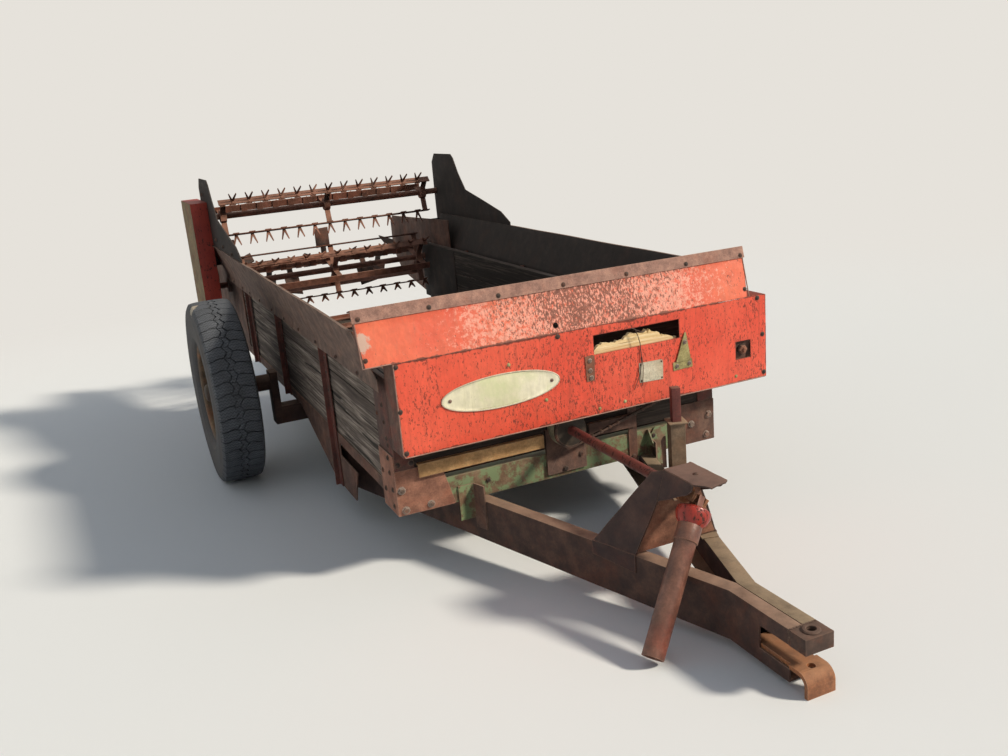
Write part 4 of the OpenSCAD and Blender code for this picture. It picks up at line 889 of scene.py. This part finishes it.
# Bearing plate behind the square cut, and the nut on the side shaft's end.
shaft_plate = bmesh.new()
square_ring(shaft_plate, 46, 24, 5, pointed((SIDE_SHAFT_X, -112, SIDE_SHAFT_Z), FRONT))
square_ring(shaft_plate, 60, 46, 16, pointed((SIDE_SHAFT_X, -110, SIDE_SHAFT_Z), FRONT))
finish_piece(shaft_plate, "side_shaft_plate", "frame_steel", bevel=1.0)
nut = bmesh.new()
lathe(nut, [(22.5, -4), (22.5, 2), (20, 4), (20, 16), (17, 18), (9, 18.5), (9, 27), (7.5, 28.5),
            (0, 29)], 6, pointed((SIDE_SHAFT_X, -117, SIDE_SHAFT_Z), FRONT))
finish_piece(nut, "side_shaft_nut", "cross_plate", "side_shaft", bevel=0.6)

# Front of the frame
# The left part takes the rust painted lighter as sunlit; the right part the plain frame rust.
for name, x0, x1, material in (("left", -640, -104, "sill_bar"),
                               ("right", 104, 326, "frame_steel")):
    plates("front_sill_bar_" + name, material, [
        ([(-24, 146), (-19, 146), (-19, 195), (-2, 195), (-2, 200), (-24, 200)], x1 - x0,
         pointed((x0, 0, 0), RIGHT))], bevel=1.0)

ribs = bmesh.new()
at_ring = pointed((0, -40, INPUT_Z), FRONT)
lathe(ribs, [(62, -2), (62, 5), (66, 8), (73, 7), (75, 3), (75, -2)], 40, at_ring)
lathe(ribs, [(23, -2), (23, 12), (27, 14), (34, 12), (38, 4), (41, -2)], 32, at_ring)
for k in range(6):
    a = k * math.tau / 6
    inner, spot = [at_ring @ Vector((r * math.cos(a), r * math.sin(a), 0)) for r in (30, 50)]
    rope(ribs, [inner, spot + (spot - inner) * 0.7], 6, 8)
# The ribs take the same cast iron, painted lighter as lit.
finish_piece(ribs, "bearing_ring_ribs", "ring_casting_painted_lit")

plates("right_corner_brace", "channel_paint", [
    ([(380, 48), (454, 46), (506, 113), (428, 117)], 5, pointed((0, -2, 0), FRONT)),
    ([(372, -49), (461, -57), (455, 47), (380, 51)], 5, pointed((0, -1, 0), FRONT)),
    ([(-52, 47), (-2, 47), (-2, 112), (-10, 112)], 5, pointed((392, 0, 0), RIGHT))],
    0.8)
plates("beam_cover_plate", "tan_steel", [
    ([(92, -811), (150, -828), (173, -774), (199, -710), (150, -698), (110, -760)], 4,
     pointed((0, 0, 0), UP))])
bolts("gusset_bolts", [((x, -6, z), FRONT, size, "hex") for x, z, size in (
    (-711, 104, 16), (-702, 21, 16), (-598, 23, 15), (702, 116, 16), (689, 28, 15),
    (613, 89, 15))], "bolt_steel")
bolts("front_bolts", [((x, y, z), FRONT, size, head) for x, y, z, size, head in (
    (-716, -6, 208, 12, "round"), (-662, -6, 207, 12, "round"), (-692, -6, 300, 9, "round"),
    (-692, -6, 380, 9, "round"), (-692, -6, 470, 9, "round"), (-692, -6, 530, 9, "round"),
    (320, -6, 9, 11, "hex"), (320, -6, 146, 11, "hex"), (-9, -12, 34, 12, "hex"),
    (66, -12, 80, 11, "hex"), (156, 0, 88, 11, "hex"), (-350, 0, 60, 10, "hex"),
    (420, -6, 80, 10, "hex"))], "dark_bolt")

# Sides
post_bolts = [((-726, y, z), LEFT, 10, "round") for y, z in (
    (80, 538), (71, 433), (150, 381), (68, 365), (57, 301), (50, 276), (150, 521))]
post_bolts += [((-732, y, z), LEFT, 11, "round") for y, z in (
    (53, 225), (51, 165), (33, 99), (127, 77), (140, 150), (36, 30))]
stake_bolts = [((-732, y - 24, z), LEFT, 9, "round") for y in (920, 1875, 2755)
               for z in (125, 225, 300, 385, 455)]
lip_bolts = [((-762, y, 529), LEFT, 8, "round")
             for y in (240, 560, 905, 1240, 1560, 1860, 2200, 2500, 2740, 3050)]
bolts("side_bolts", mirrored(post_bolts + stake_bolts + lip_bolts), "dark_bolt")
bolts("beater_plate_bolts", mirrored([((-835, y, z), LEFT, 11, "hex") for y, z in (
    (2450, 775), (2760, 790), (3010, 810), (3330, 1080))]), "dark_bolt")
ropes("post_welds", "dark_bolt", [
    ([(s * 727, 5 + 4.0 * k, 243.5 + noise.noise(Vector((k * 0.4, s, 0))) * 1.5)
      for k in range(41)], lambda k: 3.0 + 1.0 * math.sin(k * 1.9), 8) for s in (-1, 1)])

# Hitch
hitch = bmesh.new()
lathe(hitch, [(14, -1), (14, 5), (16, 7), (24, 6.4), (28, 3), (29, -1)], 32,
      pointed((0, -PIN_Y, 0), UP))
for s in (-1, 1):
    rope(hitch, [(s * 49, -1424 + 3 * math.sin(k), -2 - 4.0 * k) for k in range(11)],
         lambda k: 3.2 + math.sin(k * 2.1), 8)
rope(hitch, [(-46 + 4.0 * k, -1424 + noise.noise(Vector((k * 0.5, 9, 0))) * 2, 0.5)
             for k in range(24)], lambda k: 2.8 + 0.8 * math.sin(k * 2.3), 8)
finish_piece(hitch, "hitch_boss_and_welds", "hitch_top")
bolts("hood_bolt", [((4, -914, 295), UP, 9, "round")], "dark_bolt")

# Plate across the two braces of the hood, torn open round the shaft.
brace_across, brace_up = Vector(RIGHT), Vector((0, -0.171, 0.985)).normalized()
brace_front = Matrix((brace_across, brace_up, brace_across.cross(brace_up))).transposed()
plates("brace_cross_plate", "cross_plate", [
    ([(-156, 12), (156, 12), (86, 186), (61, 268), (41, 262), (37, 228), (30, 205), (27, 186),
      (6, 171), (-9, 176), (-24, 178), (-33, 192), (-37, 212), (-43, 240), (-59, 266),
      (-86, 186)], 4, Matrix.Translation((0, -789, 0)) @ brace_front.to_4x4())], bevel=0.8)

# Chain floor: the barrels of its two chains, and the rollers of the cross chain.
CHAIN_PITCH = 58.75
barrels = bmesh.new()
for x in (-430, 430):
    for k in range(52):
        y = 185 + k * CHAIN_PITCH
        for z in (126.3, 26.3):
            if z < 100 or abs((y - 210) % 302 - 151) < 125:
                lathe(barrels, [(0, -15), (7, -15), (8, -13), (8, 13), (7, 15), (0, 15)], 8,
                      pointed((x, y, z), RIGHT))
finish_piece(barrels, "floor_chain_barrels", "chain_steel")
rollers = bmesh.new()
run = Vector((SIDE_SHAFT_X, 0, SIDE_SHAFT_Z - INPUT_Z))
across_run = Vector((-run.z, 0, run.x)).normalized()
for s in (-1, 1):
    for k in range(1, 20):
        t = k / 20
        spot = Vector((0, -64, INPUT_Z)) + run * t + across_run * s * (70 - 14 * t)
        lathe(rollers, [(0, -8.5), (6, -8.5), (7, -7), (7, 7), (6, 8.5), (0, 8.5)], 8,
              pointed(spot, (0, 1, 0)))
finish_piece(rollers, "cross_chain_rollers", "chain_steel", BODY_OF["cross_chain"])

# Beaters: a bolt on both sides of each tooth, and a clamp under it.
TOOTH_PITCH = 108
for name, z, bars, every, phase, radius in (("upper_beater", UPPER_Z, 3, 1, 44, 130),
                                            ("lower_beater", LOWER_Z, 6, 2, 45, 168)):
    work = bmesh.new()
    for i in range(0, bars, every):
        turn = Matrix.Rotation(math.radians(phase + i * 360 / bars), 4, "X")
        bar = Matrix.Translation((0, BEATER_Y, z)) @ turn
        for k in range(-6, 7):
            for t in (-13, 13):
                bolt(work, bar @ Vector((k * TOOTH_PITCH, t, radius + 6)),
                     bar.to_3x3() @ Vector(UP), 8, k * 0.7, washer=False)
            prism(work, [(-20, -25), (20, -25), (20, 25), (-20, 25)], 5,
                  bar @ Matrix.Translation((k * TOOTH_PITCH, 0, radius - 5.5)))
    finish_piece(work, name + "_tooth_bolts", "beater_steel", name)


# Wheels
def tread_radius(x):
    """Radius of the tread over its width, 229 mm tyre on a 508 mm rim."""
    stops = [(0, 486.2), (40, 485.8), (66, 484.6), (84, 482.4), (97, 479.4), (102, 476.0),
             (106, 468.0), (109, 452.0)]
    x = abs(x)
    for (x0, r0), (x1, r1) in zip(stops, stops[1:]):
        if x <= x1:
            t = (x - x0) / (x1 - x0)
            return r0 + (r1 - r0) * t
    return stops[-1][1]


def tyre_piece(side, way):
    """A truck tyre: carcass turned round the axle, and a tread of wide shoulder blocks on both
    sides of a zigzag rib, each block a raised solid with its own walls."""
    work = bmesh.new()
    turned = pointed((0, 0, 0), (1, 0, 0), (0, 0, 1))
    half = [(254.5, 79), (262, 79.4), (269, 80), (277, 93), (288, 102), (300, 106.5), (303, 108.2),
            (309, 108.4), (312, 107.9), (330, 110.6), (352, 112.4), (378, 113.6), (400, 113.2),
            (404, 114.0), (412, 113.6), (416, 112.2), (436, 108.6), (452, 106.4), (464, 103.8),
            (469, 99.5), (473, 86.5), (475.5, 66), (476.6, 40), (477.2, 0)]
    profile = [(r, -x) for r, x in half] + [(r, x) for r, x in half[-2::-1]]
    lathe(work, profile, 144, turned)
    count = 50
    pitch = math.tau / count
    depth = 10.5

    def on_tread(angle, x, lower):
        r = tread_radius(x) - lower
        return work.verts.new((x, r * math.sin(angle), r * math.cos(angle)))

    def outline(rows):
        return (rows[0] + [row[-1] for row in rows[1:]] + rows[-1][-2::-1]
                + [row[0] for row in rows[-2:0:-1]])

    def block(rows):
        """rows: lists of (angle, x) across one block; top faces, then walls down to the carcass."""
        top = [[on_tread(a, x, 0.0) for a, x in row] for row in rows]
        for r0, r1 in zip(top, top[1:]):
            for a, b, c, d in zip(r0, r0[1:], r1[1:], r1):
                work.faces.new((a, b, c, d))
        bridge(work, [outline(top), [on_tread(a, x, depth) for a, x in outline(rows)]])

    gap = 5.4 / TYRE_R
    for k in range(count):
        for shoulder in (-1, 1):
            shift = 0.0 if shoulder < 0 else 0.5
            rows = []
            for i in range(6):
                t = i / 5
                zig = 1 - abs(2 * t - 1)
                inner = 27.5 - 20.0 * zig
                row = []
                for j in range(9):
                    u = j / 8
                    x = inner + (107.5 - inner) * u
                    wave = 0.10 * math.sin(u * 5.2 + 0.6) * pitch
                    angle = (k + shift) * pitch + wave + gap / 2 + (pitch - gap) * t
                    row.append((angle, shoulder * x))
                rows.append(row)
            block(rows)
        rows = []
        for i in range(5):
            t = i / 4 * 0.94
            at = (k + t) * pitch
            swing = 10.0 * (1 - abs(2 * (t % 1.0) - 1)) * 2 - 10.0
            rows.append([(at, swing - 11.5), (at, swing), (at, swing + 11.5)])
        block(rows)
    finish_piece(work, "tyre_" + side + "_tread", "tyre_rubber", "wheel_" + side,
                 ("tyre_" + side,), angle=38, at=(way * WHEEL_X, AXLE_Y, AXLE_Z))


def hub_piece(side, way):
    """Wheel nuts on their studs, a pressed dust cap and the valve stem, on the rim's disc."""
    work = bmesh.new()
    for k in range(6):
        a = k * math.tau / 6 + 0.3
        spot = (way * 38.0, 92 * math.sin(a), 92 * math.cos(a))
        place = pointed(spot, (way, 0, 0))
        lathe(work, [(21, -7), (21, -1), (17, 1), (0, 1)], 20, place)
        lathe(work, [(17.5, 0), (17.5, 17), (14.5, 20), (8, 20.5), (8, 30), (7, 32), (0, 32)], 6,
              place)
    lathe(work, [(62, 26), (60, 58), (54, 60), (54, 62), (50, 66), (46, 86), (38, 96), (20, 101),
                 (0, 102)], 36, pointed((0, 0, 0), (way, 0, 0)))
    rope(work, [(way * 20, 0, -214), (way * 44, 0, -220), (way * 74, 0, -208)], 5, 8)
    finish_piece(work, "hub_fittings_" + side, "greasy_casting", "wheel_" + side,
                 angle=35, at=(way * WHEEL_X, AXLE_Y, AXLE_Z))


for make in (tyre_piece, hub_piece):
    for side, way in (("left", -1), ("right", 1)):
        make(side, way)


# Stage
def stage_bowl():
    """A pale studio floor that curves up far behind the object on every side. Far off it shows
    itself to the camera as plain paper, so that the background stays pale."""
    mesh = bpy.data.meshes.new("studio_floor")
    work = bmesh.new()
    profile = [(0.0, 0.0), (6.0, 0.0), (13.0, 0.0), (15.0, 0.12), (16.6, 0.6), (17.6, 1.6),
               (18.0, 3.2), (18.2, 5.4)]
    lathe(work, profile, 96, Matrix.Identity(4))
    for face in work.faces:
        face.smooth = True
    work.to_mesh(mesh)
    work.free()
    floor = bpy.data.objects.new("studio_floor", mesh)
    bpy.context.scene.collection.objects.link(floor)
    material, tree, place = new_material("studio_floor_matt_paint", 0.9)
    shader = tree.nodes["Principled BSDF"]
    link(tree, "#e8edef", shader.inputs["Base Color"])
    away = add(tree, "VectorMath", {0: place}, operation="LENGTH")
    far = add(tree, "MapRange", {"Value": away, "From Min": 3.2, "From Max": 9.0},
              interpolation_type="SMOOTHSTEP")
    paper = add(tree, "Emission", {"Color": PAPER, "Strength": 1.0})
    shown = add(tree, "Math", {0: far, 1: seen_by_camera(tree)}, operation="MULTIPLY")
    mixed = add(tree, "MixShader", {0: shown, 1: shader, 2: paper})
    link(tree, mixed, tree.nodes["Material Output"].inputs["Surface"])
    mesh.materials.append(material)


PAPER = "#e6e2db"


def seen_by_camera(tree):
    """1 for what the camera sees, directly, in a gloss or through glass."""
    ray = add(tree, "LightPath").outputs
    direct = add(tree, "Math", {0: ray["Is Camera Ray"], 1: ray["Is Glossy Ray"]},
                 operation="MAXIMUM")
    return add(tree, "Math", {0: direct, 1: ray["Is Transmission Ray"]}, operation="MAXIMUM")


stage_bowl()
world = bpy.data.worlds.new("studio_light")
bpy.context.scene.world = world
world.use_nodes = True
sky_tree = world.node_tree
dome = add(sky_tree, "Background", {"Color": "#dfe6f2", "Strength": 0.34})
wall = add(sky_tree, "Background", {"Color": PAPER, "Strength": 1.0})
sky_mix = add(sky_tree, "MixShader", {0: seen_by_camera(sky_tree), 1: dome, 2: wall})
link(sky_tree, sky_mix, sky_tree.nodes["World Output"].inputs["Surface"])

# One low lamp, far off to the right of the front, wide enough to soften its shadows. It doesn't
# reach the left side and the back, which the world and the pale floor light.
sun = bpy.data.lights.new("sun", "SUN")
sun.energy = 3.9
sun.angle = math.radians(8)
sun.color = colour("#fff2e0")[:3]
sun_holder = bpy.data.objects.new("sun", sun)
sun_holder.rotation_mode = "QUATERNION"
sun_holder.rotation_quaternion = Vector((-0.62, 0.56, -0.55)).to_track_quat("-Z", "Y")
bpy.context.scene.collection.objects.link(sun_holder)
bpy.context.scene.view_settings.view_transform = "Standard"
